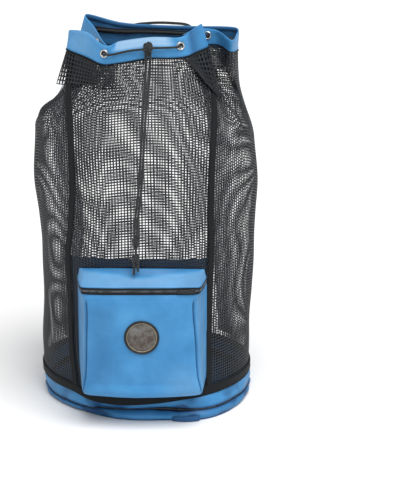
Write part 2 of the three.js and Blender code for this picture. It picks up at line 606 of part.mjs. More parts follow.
// Plain padded shoulder straps down the back, from under the collar to the base
function buildStraps() {
  const strap = { topZ: 640, footZ: 62, width: 44, sewn: 3, stand: 26 };
  const straps = [
    { name: "shoulder_strap_right", footAngle: 131, topAngle: 143 },
    { name: "shoulder_strap_left", footAngle: -131, topAngle: -126 },
  ];
  for (const { name, footAngle, topAngle } of straps) {
    const point = (u, v) => {
      const middle = mix(footAngle, topAngle, v);
      const z = mix(strap.footZ, strap.topZ, v);
      const slack = Math.sin(Math.PI * v);
      const across = netPoint(middle - 3, z).sub(netPoint(middle + 3, z)).setZ(0).normalize();
      across.lerp(new THREE.Vector3(1, 0, 0), slack).normalize();
      const away = new THREE.Vector3(-across.y, across.x, 0);
      const standing = netThick / 2 + strapThick / 2 + strap.sewn + strap.stand * slack;
      const aside = (u - 0.5) * strap.width;
      return netPoint(middle, z).addScaledVector(away, standing).addScaledVector(across, aside);
    };
    add(name, clothWall({ point, columns: 2, rows: 14, thick: strapThick }), colours.nylon);
  }
}

buildBase();
buildNet();
buildPocket();
buildCollar();
buildCord();
buildTails();
buildStraps();

export default bag;
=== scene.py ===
import bpy
import bmesh
import math
from functools import partial
from mathutils import Matrix, Vector, noise


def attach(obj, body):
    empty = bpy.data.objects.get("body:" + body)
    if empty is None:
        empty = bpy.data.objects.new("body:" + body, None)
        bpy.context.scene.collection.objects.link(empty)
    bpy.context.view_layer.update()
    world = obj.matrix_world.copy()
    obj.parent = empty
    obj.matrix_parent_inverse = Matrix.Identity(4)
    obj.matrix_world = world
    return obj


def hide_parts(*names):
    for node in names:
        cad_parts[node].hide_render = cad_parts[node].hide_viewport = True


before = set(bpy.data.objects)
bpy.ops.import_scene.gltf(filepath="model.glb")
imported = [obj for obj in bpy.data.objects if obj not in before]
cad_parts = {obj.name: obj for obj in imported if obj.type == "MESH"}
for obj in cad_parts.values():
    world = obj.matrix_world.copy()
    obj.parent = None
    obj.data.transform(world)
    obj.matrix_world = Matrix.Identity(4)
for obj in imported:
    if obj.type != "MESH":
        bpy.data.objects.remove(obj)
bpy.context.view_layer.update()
mm = 0.001


# Tables and curves of the bag, in millimetres; angle 0 is the front, 90 the right side

def table(columns, *rows):
    return [dict(zip(columns.split(), row)) for row in rows]


bodySections = table(
    "z halfWidth halfDepth centreX",
    (0, 199, 190, 1), (110, 201, 194, 0), (210, 201, 198, 4), (300, 203, 202, 5), (360, 208, 206, 4),
    (430, 212, 209, 3), (510, 207, 205, 1), (600, 203, 200, 1), (760, 200, 198, 1))

# the rows at the back left and on the left lobe follow the cloth a little more closely than the solids do
collarFolds = table(
    "angle x y z rimX rimY rimZ start",
    (3, 15, -102, 671, 16, -103, 706, 495),    # front middle
    (18, 58, -100, 671, 57, -100, 706, 495),    # front right
    (27, 81, -90, 672, 77, -90, 709, 495),    # right front eyelet
    (37, 98, -74, 676, 89, -72, 716, 495),    # right lobe
    (46, 121, -44, 682, 109, -40, 723, 495),    # right lobe tip
    (52, 105, -36, 680, 99, -33, 714, 520),    # right lobe back
    (61, 73, -40, 672, 75, -37, 702, 540),    # right valley
    (70, 104, -8, 677, 100, -4, 707, 525),    # right eyelet
    (80, 139, -10, 679, 134, -8, 706, 510),    # right hollow
    (94, 161, -40, 672, 163, -54, 695, 495),    # right point
    (107, 173, 2, 665, 174, -4, 697, 495),    # right side
    (120, 172, 48, 661, 173, 47, 701, 495),    # back right corner
    (150, 88, 63, 663, 87, 64, 701, 495),    # back right
    (180, 12, 66, 665, 12, 67, 703, 495),    # back middle
    (218, -50, 64, 664, -45, 65, 708, 495),    # back left
    (242, -124, 52, 675, -110, 50, 726, 495),    # back left corner
    (265, -99, 6, 675, -92, 3, 710, 515),    # left side
    (283, -71, -40, 662, -76, -42, 694, 540),    # left eyelet
    (291, -56, -73, 658, -63, -69, 683, 565),    # left valley
    (299, -88, -53, 666, -90, -49, 690, 550),    # left lobe inner
    (308, -122, -34, 676, -118, -32, 703, 520),    # left lobe back
    (315, -140, -44, 678, -135, -42, 711, 495),    # left lobe tip
    (328, -101, -78, 668, -99, -76, 713, 495),    # left lobe
    (338, -70, -99, 659, -66, -98, 693, 495),    # left front eyelet
    (347, -39, -105, 663, -35, -106, 700, 495))    # front left

baseRows = table(
    "angle top zipShare flare",
    (0, 40, 0.55, 1), (12, 43, 0.5, 4), (20, 45, 0.45, 14), (30, 46, 0.4, 25), (42, 47, 0.38, 25),
    (60, 47, 0.37, 14), (90, 46, 0.36, 2), (180, 42, 0.45, 0), (270, 49, 0.28, 0), (300, 49, 0.27, -6),
    (318, 48, 0.27, -9), (330, 39, 0.38, -5), (345, 37, 0.52, 0), (360, 40, 0.55, 1))
seams = {"left": -40, "right": 37, "back": 135}


def mix(a, b, share):
    return a + (b - a) * share


def smooth(share):
    share = min(max(share, 0), 1)
    return share * share * (3 - 2 * share)


def between(at, start, rise, end, fall):
    # 1 between two ends, with a soft rise after the first and a soft fall before the second
    return smooth((at - start) / rise) * smooth((end - at) / fall)


def arch(share):
    # 0 at both ends and 1 in the middle
    return math.sin(math.pi * share)


def hump(at, middle, spread):
    return math.exp(-((at - middle) / spread) ** 2)


def slope(rows, key, column, a, b):
    return (rows[b][column] - rows[a][column]) / (rows[b][key] - rows[a][key])


def along(rows, key, column, at):
    # a column of a table, on a smooth curve through the rows
    last = len(rows) - 1
    i = 0
    while i < last - 1 and at > rows[i + 1][key]:
        i += 1
    span = rows[i + 1][key] - rows[i][key]
    startSlope = slope(rows, key, column, max(i - 1, 0), i + 1)
    endSlope = slope(rows, key, column, i, min(i + 2, last))
    s = min(max((at - rows[i][key]) / span, 0), 1)
    bend = s * (1 - s) * span * ((1 - s) * startSlope - s * endSlope)
    return mix(rows[i][column], rows[i + 1][column], smooth(s)) + bend


def runLengths(places):
    # how far along a line of points each one is
    run = [0]
    for a, b in zip(places, places[1:]):
        run.append(run[-1] + (b - a).length)
    return run


def atShare(line, share):
    # the value at a share of a line's length, from the values along it and the run to each
    values, run = line
    want = share * run[-1]
    i = 0
    while i < len(run) - 2 and run[i + 1] < want:
        i += 1
    return mix(values[i], values[i + 1], (want - run[i]) / (run[i + 1] - run[i]))


def foldCurve(points):
    # a closed centripetal spline that passes each fold at a whole number
    count = len(points)
    reach = [max((points[(i + 1) % count] - points[i]).length ** 0.5, 1e-4) for i in range(count)]

    def at(turn):
        i = int(math.floor(turn))
        s = turn - i
        i %= count
        p0, p1, p2, p3 = (points[(i + k) % count] for k in (-1, 0, 1, 2))
        d0, d1, d2 = (reach[(i + k) % count] for k in (-1, 0, 1))
        start = ((p1 - p0) / d0 - (p2 - p0) / (d0 + d1) + (p2 - p1) / d1) * d1
        end = ((p2 - p1) / d1 - (p3 - p1) / (d1 + d2) + (p3 - p2) / d2) * d1
        q, c = s * s, s * s * s
        return p1 * (2 * c - 3 * q + 1) + start * (c - 2 * q + s) + p2 * (3 * q - 2 * c) + end * (c - q)
    return at


def splineThrough(points):
    # an open centripetal spline that passes each point at a whole number
    before = points[0] * 2 - points[1]
    after = points[-1] * 2 - points[-2]
    whole = foldCurve([before, *points, after])
    last = len(points) - 1 - 1e-6

    def at(turn):
        return whole(min(max(turn, 0), last) + 1)
    return at


seamCurve = foldCurve([Vector((f["x"], f["y"], f["z"])) for f in collarFolds])
rimCurve = foldCurve([Vector((f["rimX"], f["rimY"], f["rimZ"])) for f in collarFolds])


def foldAt(angle):
    first = collarFolds[0]["angle"]
    at = first + (angle - first) % 360
    i = 0
    while i < len(collarFolds) - 1 and at >= collarFolds[i + 1]["angle"]:
        i += 1
    end = collarFolds[i + 1]["angle"] if i < len(collarFolds) - 1 else first + 360
    return i + (at - collarFolds[i]["angle"]) / (end - collarFolds[i]["angle"])


def gatherStart(fold):
    i = int(fold) % len(collarFolds)
    return mix(collarFolds[i]["start"], collarFolds[(i + 1) % len(collarFolds)]["start"], fold - int(fold))


def roundPoint(angle, z, out=0):
    a = math.radians(angle)
    centreX, halfWidth, halfDepth = (along(bodySections, "z", name, z)
                                     for name in ("centreX", "halfWidth", "halfDepth"))
    return Vector((centreX + (halfWidth + out) * math.sin(a), -(halfDepth + out) * math.cos(a), z))


def netPoint(angle, z):
    fold = foldAt(angle)
    seam = seamCurve(fold)
    start = gatherStart(fold)
    drawn = Vector((seam.x, seam.y, z))
    return roundPoint(angle, z).lerp(drawn, smooth((z - start) / (seam.z - start)))


def fromFront(angle):
    return (angle + 180) % 360 - 180


def bandTop(angle):
    return along(baseRows, "angle", "top", angle % 360)


netSwell = {"deep": 3.2, "rows": (60, 80, 640, 60), "lumpsAround": 2.1, "lumpTall": 105}


def swell(angle, z):
    # soft lumps of the slack net, in millimetres
    a = math.radians(angle)
    around = netSwell["lumpsAround"]
    place = Vector((math.sin(a) * around, math.cos(a) * around, z / netSwell["lumpTall"]))
    return netSwell["deep"] * between(z, *netSwell["rows"]) * noise.noise(place)


seamPulls = {
    "left": {"spread": 22, "rows": table(
        "z turn", (70, 0), (220, -3.6), (314, -4.2), (360, -0.8), (405, 1.8), (450, 3.2), (516, 2), (560, 0),
        (600, -1.7), (630, -1.2), (660, 0))},
    "right": {"spread": 18, "rows": table(
        "z turn", (70, 0), (200, -1.2), (335, -0.9), (415, -2.1), (472, -0.9), (516, 1.5), (560, 5.2),
        (605, 7.8), (630, 7), (676, 0))}}


def seamDrift(angle, z):
    # the net beside each front seam is pulled a little to and fro on its way up, in degrees
    drift = 0
    for side, drag in seamPulls.items():
        drift += hump(fromFront(angle), seams[side], drag["spread"]) * along(drag["rows"], "z", "turn", z)
    return drift


def netPlace(angle, z, out=0):
    # a point of the net with its swell, and any distance out from it
    angle += seamDrift(angle, z)
    aside = 0.6
    above = 2
    across = netPoint(angle + aside, z) - netPoint(angle - aside, z)
    up = netPoint(angle, z + above) - netPoint(angle, z - above)
    return netPoint(angle, z) + across.cross(up).normalized() * (out + swell(angle, z))


def collarPoint(fold, up):
    return seamCurve(fold).lerp(rimCurve(fold), up)


def collarPlace(fold, up, out=0):
    step = 0.02
    across = collarPoint(fold + step, up) - collarPoint(fold - step, up)
    side = across.cross(rimCurve(fold) - seamCurve(fold)).normalized()
    return collarPoint(fold, up) + side * out


# Materials

def linear(text):
    parts = [int(text[i:i + 2], 16) / 255 for i in (1, 3, 5)]
    return [p / 12.92 if p <= 0.04045 else ((p + 0.055) / 1.055) ** 2.4 for p in parts] + [1]


def addNode(tree, kind, inputs, **settings):
    node = tree.nodes.new("ShaderNode" + kind)
    for name, value in settings.items():
        setattr(node, name, value)
    for socket, value in inputs.items():
        if isinstance(value, bpy.types.NodeSocket):
            tree.links.new(value, node.inputs[socket])
        else:
            node.inputs[socket].default_value = value
    return node.outputs


def newMaterial(name, **shader):
    # a material with plain values on its surface, its node tree and the coordinates of a place on the cloth
    material = bpy.data.materials.new(name)
    material.use_nodes = True
    tree = material.node_tree
    for socket, value in shader.items():
        tree.nodes["Principled BSDF"].inputs[socket.replace("_", " ")].default_value = value
    return material, tree, addNode(tree, "TexCoord", {})


def wire(tree, **outputs):
    for socket, output in outputs.items():
        tree.links.new(output, tree.nodes["Principled BSDF"].inputs[socket.replace("_", " ")])


def addNoise(tree, place, size, detail, **more):
    inputs = {"Vector": place, "Scale": 1 / size, "Detail": detail, **more}
    return addNode(tree, "TexNoise", inputs)["Fac"]


def addWave(tree, place, pitch, way, distortion, **more):
    # at a scale of 1 the wave texture repeats every 2 pi / 20
    inputs = {"Vector": place, "Scale": 2 * math.pi / 20 / pitch, "Distortion": distortion}
    inputs.update({socket.replace("_", " "): value for socket, value in more.items()})
    return addNode(tree, "TexWave", inputs, bands_direction=way)["Fac"]


def addBump(tree, height, strength, distance, **under):
    inputs = {"Height": height, "Strength": strength, "Distance": distance * mm, **under}
    return addNode(tree, "Bump", inputs)["Normal"]


def combine(tree, pair, operation):
    return addNode(tree, "Math", dict(enumerate(pair)), operation=operation)["Value"]


def blend(tree, share, under, colour):
    inputs = {"Factor": share, "A": under, "B": linear(colour)}
    return addNode(tree, "Mix", inputs, data_type="RGBA")["Result"]


def toneRamp(tree, share, low, high, *inner):
    # colours over a share from 0 to 1, each stop a pair of place and colour
    tone = addNode(tree, "ValToRGB", {"Fac": share})["Color"]
    ramp = tone.node.color_ramp
    for element, (at, colour) in zip(ramp.elements, (low, high)):
        element.position = at
        element.color = linear(colour)
    for at, colour in inner:
        ramp.elements.new(at).color = linear(colour)
    return tone


def packNylon(name, base, dark, light, crease):
    # coated pack nylon: a fine plain weave with a soft gloss, and a skin that creases into small flat facets
    # the colour of the painted highlight
    paleWearAndHighlight = "#95b4ce"
    threadPitch = 1.6 * mm      # real threads are about 0.4 mm, drawn coarser so that they show
    material, tree, place = newMaterial(name, Roughness=0.46, Specular_IOR_Level=0.25)
    patches = addNoise(tree, place["Object"], 60 * mm, 4, Roughness=0.6)
    tone = toneRamp(tree, patches, (0.3, dark), (0.72, light), (0.5, base))
    # the mesh's fold mark is painted light: 1 for painted shade deep in a crease, 0 where the cloth lies flat
    # and -1 for a painted highlight
    paintedLight = addNode(tree, "Attribute", {}, attribute_name="fold")["Fac"]
    # crease is the colour of the painted shade
    shaded = blend(tree, paintedLight, tone, crease)
    highlight = addNode(tree, "Math", {0: paintedLight, 1: -1}, operation="MULTIPLY", use_clamp=True)["Value"]
    threads = [addWave(tree, place["UV"], threadPitch, way, 0.6, Detail=1, Detail_Scale=3)
               for way in ("X", "Y")]
    fine = addBump(tree, combine(tree, threads, "MULTIPLY"), 0.12, 0.3)
    facets = addNoise(tree, place["Object"], 22 * mm, 5, Roughness=0.55, Distortion=0.5)
    broad = addBump(tree, facets, 0.35, 1.6, Normal=fine)
    wire(tree, Base_Color=blend(tree, highlight, shaded, paleWearAndHighlight), Normal=broad)
    return material


def wovenWebbing(name, base, light):
    # polypropylene webbing and seam tape: ribs across its length, dull, with paler fuzz on the high ribs
    ribPitch = 1.8 * mm
    material, tree, place = newMaterial(name, Roughness=0.75, Specular_IOR_Level=0.2, Sheen_Weight=0.03)
    ribs = addWave(tree, place["UV"], ribPitch, "Y", 1.2, Detail=2, Detail_Scale=2)
    wire(tree, Base_Color=toneRamp(tree, ribs, (0, base), (1, light)), Normal=addBump(tree, ribs, 0.5, 0.5))
    return material


def coatedNet(name, base, light):
    # polyester net dipped in soft vinyl: rounded threads with a satin skin, dusted paler in places
    material, tree, place = newMaterial(name, Roughness=0.46, Specular_IOR_Level=0.5)
    dust = addNoise(tree, place["Object"], 40 * mm, 6, Roughness=0.65)
    tone = toneRamp(tree, dust, (0.35, base), (0.75, light))
    grain = addNoise(tree, place["Object"], 1.2 * mm, 2)
    wire(tree, Base_Color=tone, Normal=addBump(tree, grain, 0.25, 0.2))
    return material


def braidedCord(name, base, light):
    # braided polyester cord: two sets of yarns that cross on the slant
    yarnPitch = 2.2 * mm
    material, tree, place = newMaterial(name, Roughness=0.78, Specular_IOR_Level=0.3, Sheen_Weight=0.25)
    yarns = []
    for lean in (0.8, -0.8):
        slanted = addNode(tree, "Mapping", {"Vector": place["Object"], "Rotation": (lean, lean, 0)})["Vector"]
        yarns.append(addWave(tree, slanted, yarnPitch, "Z", 0.8))
    braid = combine(tree, yarns, "MAXIMUM")
    wire(tree, Base_Color=toneRamp(tree, braid, (0, base), (1, light)), Normal=addBump(tree, braid, 0.6, 0.5))
    return material


def mouldedRubber(name, base, light, grainSize):
    # soft moulded rubber: dull, faintly pebbled, with paler rubbed high spots
    material, tree, place = newMaterial(name, Roughness=0.62, Specular_IOR_Level=0.4)
    paleWearAndHighlight = addNoise(tree, place["Object"], 14 * mm, 5, Roughness=0.6)
    tone = toneRamp(tree, paleWearAndHighlight, (0.38, base), (0.66, light))
    pebbles = addNode(tree, "TexVoronoi", {"Vector": place["Object"], "Scale": 1 / grainSize})["Distance"]
    wire(tree, Base_Color=tone, Normal=addBump(tree, pebbles, 0.4, 0.3))
    return material


def nickelPlate(name):
    # nickel-plated brass, pressed to shape: bright, slightly warm, with fine tumbling marks
    material, tree, place = newMaterial(name, Metallic=1, Base_Color=linear("#d2d0ca"))
    marks = addNoise(tree, place["Object"], 1.5 * mm, 3)
    wear = addNode(tree, "MapRange", {"Value": marks, "To Min": 0.16, "To Max": 0.38})["Result"]
    wire(tree, Roughness=wear)
    return material


# the last colour of each nylon is its painted shade
blueNylon = packNylon("coated_nylon_blue", "#4288bd", "#397fb3", "#4c93c8", "#103562")
# a darker copy of the blue nylon, painted shade, for the insides of the collar and base walls, the floor and
# the grab loop
shadedNylon = packNylon("coated_nylon_inside_painted_shade", "#2c5f8c", "#265681", "#346997", "#103562")
# the backing is drawn navy, darker than the bag's blue, as painted shade of the dark inside behind the net
navyShadeNylon = packNylon("coated_nylon_navy_painted_shade", "#1c446a", "#183d60", "#214c75", "#10283f")
padLining = packNylon("brushed_lining_white", "#eef1f4", "#e6eaee", "#f5f7f9", "#aab2ba")
blackTape = wovenWebbing("polypropylene_webbing_black", "#0a0c0e", "#1b1f22")
blackNet = coatedNet("vinyl_coated_net_black", "#12161b", "#1e232a")
blackCord = braidedCord("braided_polyester_black", "#0e1011", "#26292b")
zipTape = wovenWebbing("zip_tape_black", "#101214", "#24272a")
sliderPaint = mouldedRubber("painted_zinc_black", "#15171a", "#24272b", 2 * mm)
# the coil is drawn grey, paler than the black tape, as a painted sheen along the zip's middle
zipCoilSheen = mouldedRubber("nylon_zip_coil_grey_painted_sheen", "#383c41", "#63686e", 3 * mm)
patchRim = mouldedRubber("moulded_rubber_dark", "#16181d", "#22252b", 1.2 * mm)
patchFace = mouldedRubber("moulded_rubber_grey", "#453a31", "#70706e", 1.6 * mm)
patchLine = mouldedRubber("moulded_rubber_tan", "#7d7562", "#968e79", 1.2 * mm)
eyeletMetal = nickelPlate("nickel_plated_brass")
threadBlue = wovenWebbing("sewing_thread_blue", "#5aa0d8", "#86c0ee")
threadBlack = wovenWebbing("sewing_thread_black", "#141617", "#3a3d40")
print("materials made:", len(bpy.data.materials))


# Shared ways of making pieces

def sheetMesh(columns, rows, pointAt, flat, ring=False, shadeAt=None):
    # a sheet of cloth on a grid; pointAt gives millimetres, flat is the cut size in metres for the UV map
    bm = bmesh.new()
    cut = bm.loops.layers.uv.new("cut")
    # a painted light mark for each vertex from shadeAt, read by the nylon as the fold attribute: above 0
    # painted shade, below 0 painted highlight
    fold = bm.verts.layers.float.new("fold")
    bmesh.ops.create_grid(bm, x_segments=columns, y_segments=rows, size=0.5, calc_uvs=True)
    for face in bm.faces:
        for loop in face.loops:
            loop[cut].uv = ((loop.vert.co.x + 0.5) * flat[0], (loop.vert.co.y + 0.5) * flat[1])
    for vert in bm.verts:
        u, v = vert.co.x + 0.5, vert.co.y + 0.5
        if shadeAt:
            vert[fold] = shadeAt(u, v)
        vert.co = Vector(pointAt(u, v)) * mm
    if ring:
        bmesh.ops.remove_doubles(bm, verts=bm.verts, dist=0.02 * mm)
    return bm


def meshFrom(bm, name):
    mesh = bpy.data.meshes.new(name)
    bm.to_mesh(mesh)
    bm.free()
    return mesh


def addObject(name, data):
    made = bpy.data.objects.new(name, data)
    bpy.context.collection.objects.link(made)
    return made


def settle(piece, replaced):
    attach(piece, "root")
    if replaced:
        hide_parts(*replaced)
    return piece


def addPiece(bm, name, materials, replaced=(), wall=0, evenWall=True):
    mesh = meshFrom(bm, name)
    mesh.shade_smooth()
    piece = addObject(name, mesh)
    for material in materials:
        mesh.materials.append(material)
    if wall:
        thick = piece.modifiers.new("wall", "SOLIDIFY")
        thick.thickness = wall * mm
        thick.offset = 0
        thick.use_even_offset = evenWall
        thick.material_offset = len(materials) - 1
        thick.thickness_clamp = 1
    return settle(piece, replaced)


def addCord(name, lines, radius, material, replaced=()):
    curve = bpy.data.curves.new(name, "CURVE")
    curve.dimensions = "3D"
    curve.bevel_depth = radius * mm
    curve.bevel_resolution = 3
    curve.resolution_u = 3
    curve.use_fill_caps = True
    for line in lines:
        spline = curve.splines.new("NURBS")
        spline.points.add(len(line) - 1)
        for point, place in zip(spline.points, line):
            point.co = (*(Vector(place) * mm), 1)
        spline.order_u = 4
        spline.use_endpoint_u = True
    curve.materials.append(material)
    return settle(addObject(name, curve), replaced)


def addBead(bm, place, ahead, up, halves):
    # a small bead in millimetres, with half sizes ahead, up and out
    axes = Matrix((ahead, up, ahead.cross(up))).transposed().to_4x4()
    seat = Matrix.Translation(place * mm) @ axes @ Matrix.Diagonal((*halves, 1))
    bmesh.ops.create_icosphere(bm, subdivisions=1, radius=mm, matrix=seat)


stitching = {"pitch": 4.5, "halves": (1.6, 0.45, 0.45)}


def stitchRow(bm, points, sides):
    # lockstitches along a line of points in millimetres, each a small bead that stands on the cloth's side
    travelled = 0
    due = 0
    for a, b, side in zip(points, points[1:], sides):
        run = (b - a).length
        ahead = (b - a).normalized()
        out = (side - ahead * side.dot(ahead)).normalized()
        while run > 1e-6 and due <= travelled + run:
            addBead(bm, a.lerp(b, (due - travelled) / run), ahead, out.cross(ahead), stitching["halves"])
            due += stitching["pitch"]
        travelled += run


# Stage: floor, soft light and the camera

stage = {"floorHalf": 60, "paper": "#f2f2f2", "sky": 0.4}
lamps = table("name place strength spread",
              ("key_sun", (0.4, -0.75, 1.6), 3.1, 45), ("fill_sun", (-1, -0.9, 0.8), 0.3, 80))
photo = {"height": 486, "focal": 1733, "eye": (0.1157, -3.2, 1.26), "pitch": 16.84}


def buildStage():
    bm = bmesh.new()
    bmesh.ops.create_grid(bm, x_segments=2, y_segments=2, size=stage["floorHalf"])
    paper = newMaterial("backdrop_paper_white", Roughness=0.9, Base_Color=linear(stage["paper"]))[0]
    floor = addObject("floor", meshFrom(bm, "floor"))
    floor.data.materials.append(paper)
    world = bpy.data.worlds.new("studio")
    bpy.context.scene.world = world
    world.use_nodes = True
    sky = world.node_tree.nodes["Background"].inputs
    sky["Color"].default_value = (1, 1, 1, 1)
    sky["Strength"].default_value = stage["sky"]
    for row in lamps:
        light = bpy.data.lights.new(row["name"], "SUN")
        light.energy = row["strength"]
        light.angle = math.radians(row["spread"])
        lamp = addObject(row["name"], light)
        lamp.rotation_euler = (-Vector(row["place"])).to_track_quat("-Z", "Y").to_euler()
    lens = bpy.data.cameras.new("photo_view")
    lens.sensor_width = 36
    lens.lens = photo["focal"] * lens.sensor_width / photo["height"]
    camera = addObject("photo_view", lens)
    camera.location = photo["eye"]
    camera.rotation_euler = (math.radians(90 - photo["pitch"]), 0, 0)
    bpy.context.scene.camera = camera
    bpy.context.scene.view_settings.view_transform = "Standard"


buildStage()
print("stage set")


# The net: cells cut through four panels, with the threads left standing

net = {"cellWide": 6.4, "cellTall": 5.5, "thread": 1.72, "sideThread": 1.48, "thick": 1, "knotRise": 0.2,
       "seamDrop": 1.8, "footRise": 1, "samples": 70}
netPanels = table("side start end", ("front", seams["left"], seams["right"]),
                  ("right", seams["right"], seams["back"]), ("back", seams["back"], 360 - seams["back"]),
                  ("left", -seams["back"], seams["left"]))
tuckCloth = {"tall": 46, "top": (0, -2.6, -2), "bow": 2.4, "apart": 1.6, "ripple": 0.9}
tucks = table(
    "name seam start end belly slip",
    ("left", (315, 345), (-159, -60, 616), (-48, -124, 620), 7, (0.8, 3.4)),
    ("right", (25, 48), (95, -90, 650), (146, -82, 590), 6, (0.8, 0.8)),
    ("right_point", (63, 98), (110, -44, 640), (167, -38, 634), 3, (3, 3)))


def netTop(angle):
    return seamCurve(foldAt(angle)).z - net["seamDrop"]


def panelLine(angle):
    # heights up one line of the net, and how far along the cloth each one is
    samples = net["samples"]
    low = bandTop(angle) + net["footRise"]
    heights = [mix(low, netTop(angle), i / samples) for i in range(samples + 1)]
    return heights, runLengths([netPoint(angle, z) for z in heights])


def threadPoint(panel, u, v):
    angle = mix(panel["start"], panel["end"], u)
    column = round(u * panel["columns"])
    if column not in panel["lines"]:
        panel["lines"][column] = panelLine(angle)
    return netPlace(angle, atShare(panel["lines"][column], v))


def tuckPoint(tuck, u, v):
    # the front layer for the first half of v, down to the fold's loose edge, then the layer behind it
    rise = abs(2 * v - 1)
    face = math.copysign(1, 0.5 - v)
    top = seamCurve(foldAt(mix(*tuck["seam"], u))) + Vector(tuckCloth["top"])
    foot = Vector(tuck["start"]).lerp(Vector(tuck["end"]), u)
    foot.y -= tuck["belly"] * arch(u)
    bow = tuckCloth["bow"] * arch(rise) + tuckCloth["apart"] * min(6 * rise, 1)
    bow *= face * smooth(u / 0.1 + 0.1)
    bow += tuckCloth["ripple"] * noise.noise(Vector((6 * u, 4 * v, 3)))
    slip = mix(*tuck["slip"], u) * smooth(rise / 0.3) * (face < 0)
    return foot.lerp(top, rise) + Vector((slip, -bow, 0))


def cutCells(bm, thread):
    # every face of a sheet becomes a hole, with the threads left standing round it
    bm.normal_update()
    cells = list(bm.faces)
    cellMean = (net["cellWide"] + net["cellTall"]) / 2
    bmesh.ops.inset_individual(bm, faces=cells, thickness=thread / 2 / cellMean, use_even_offset=True,
                               depth=-net["knotRise"] / cellMean, use_relative_offset=True)
    bmesh.ops.delete(bm, geom=cells, context="FACES")


def addNet(name, columns, rows, pointAt, flat, thread, replaced=()):
    bm = sheetMesh(columns, rows, pointAt, flat)
    cutCells(bm, thread)
    return addPiece(bm, name, [blackNet], replaced, wall=net["thick"], evenWall=False)


def buildTucks():
    # the slack net under each lobe is folded down over itself, from the collar's seam to a loose edge
    pieces = []
    tall = tuckCloth["tall"]
    for tuck in tucks:
        across = (Vector(tuck["end"]) - Vector(tuck["start"])).length
        columns = round(across / net["cellWide"])
        rows = 2 * round(tall / net["cellTall"])
        pieces.append(addNet("net_tuck_" + tuck["name"], columns, rows, partial(tuckPoint, tuck),
                             (across * mm, 2 * tall * mm), net["thread"]))
    return pieces


def buildNet():
    widest = max(row["halfWidth"] for row in bodySections)
    for panel in netPanels:
        side = panel["side"]
        wide = math.radians(panel["end"] - panel["start"]) * widest
        tall = panelLine((panel["start"] + panel["end"]) / 2)[1][-1]
        flat = (wide * mm, tall * mm)
        rows = round(tall / net["cellTall"])
        panel["columns"] = round(wide / net["cellWide"])
        panel["lines"] = {}
        thread = net["thread" if side in ("front", "back") else "sideThread"]
        piece = addNet(side + "_net_threads", panel["columns"], rows, partial(threadPoint, panel), flat,
                       thread, [side + "_net"])
        tucked = buildTucks() if side == "front" else []
        print("net panel:", side, panel["columns"], "by", rows)


buildNet()


# The collar: one band of nylon, folded over at the rim, with eyelets and a dark seam below

collar = {"columns": 440, "rows": 18, "wall": 1.2, "tall": 48, "samples": 1500, "roll": 0.75,
          "rollFrom": 0.8, "rollTo": 0.88, "hem": 0.16, "ripple": 1.1, "rippleWide": 120, "lean": 17,
          "leanSpan": (-19.5, 4.5, 24, 12), "leanFoot": 0.55, "highlight": 0.78, "highlightSpan": (-17, 2, 20, 8),
          "highlightRows": (0.46, 0.12, 0.86, 0.04), "rimShade": 0.75, "footShade": 0.3, "darkest": 0.9,
          "edgeRows": (-0.035, 0.03), "edgeOut": 1.3, "stitchRows": (0.12, 0.84), "stitchOut": 0.95,
          "stitchSteps": 600, "eyeletUp": 0.6, "hole": 5.4}
# angle, spread and depth of the painted shade in a lobe, a painted highlight below 0
lobeShades = ((36, 5, 0.6), (324, 9, -0.22))
eyeletPlaces = {"front_left": 338, "left_fold": 303, "left_side": 276, "right_side": 75, "right_fold": 56,
                "front_right": 23}
eyeletPlate = ((4.9, -1.9), (4.9, 1.9), (5.3, 2.5), (6.2, 2.9), (7.2, 2.6), (8, 1.8), (7.9, 1.4), (5.5, 1.4),
               (5.5, -1.4), (7.9, -1.4), (8, -1.8), (7.2, -2.5), (6.2, -2.7), (5.3, -2.4))

# turns at equal steps along the collar, so that a sheet on it has even columns
collarTurns = [mix(0, len(collarFolds), i / collar["samples"]) for i in range(collar["samples"] + 1)]
collarRun = runLengths([collarPoint(turn, 0.5) for turn in collarTurns])
collarLength = collarRun[-1]


def collarTurn(u):
    return atShare((collarTurns, collarRun), u)


def turnAngle(turn):
    i = int(turn) % len(collarFolds)
    gap = (collarFolds[(i + 1) % len(collarFolds)]["angle"] - collarFolds[i]["angle"]) % 360
    return collarFolds[i]["angle"] + (turn - int(turn)) * gap


def frontLean(turn, up):
    # the front of the rim leans in over the mouth, from a short crease on its left
    foot = collar["leanFoot"]
    around = between(fromFront(turnAngle(turn)), *collar["leanSpan"])
    return Vector((0, collar["lean"] * around * smooth((up - foot) / (1 - foot)), 0))


def collarSheet(u, v):
    # up the outside, round the rolled rim and a little way down the inside
    turn = collarTurn(u)
    around = 2 * math.pi * u
    rollFrom, rollTo, roll = (collar[name] for name in ("rollFrom", "rollTo", "roll"))
    if v <= rollFrom:
        seat = Vector((math.cos(around), math.sin(around), 0)) * (collarLength / collar["rippleWide"])
        ripple = noise.noise(seat + Vector((0, 0, v * 1.3)))
        ripple += 0.5 * noise.noise(seat * 2.7 + Vector((0, 0, v * 2.5 + 9)))
        ripple *= collar["ripple"] * (0.25 + 0.75 * arch(v / rollFrom))
        return collarPlace(turn, v / rollFrom, ripple) + frontLean(turn, v / rollFrom)
    if v <= rollTo:
        bend = math.pi * (v - rollFrom) / (rollTo - rollFrom)
        place = collarPlace(turn, 1, roll * (math.cos(bend) - 1)) + frontLean(turn, 1)
        return place + Vector((0, 0, roll * math.sin(bend)))
    up = 1 - collar["hem"] * (v - rollTo) / (1 - rollTo)
    return collarPlace(turn, up, -2 * roll) + frontLean(turn, up)


def paleHemHighlight(angle, v):
    # a painted highlight on the front of the hem, from a crease at its left
    around = between(fromFront(angle), *collar["highlightSpan"])
    return collar["highlight"] * around * between(v, *collar["highlightRows"])


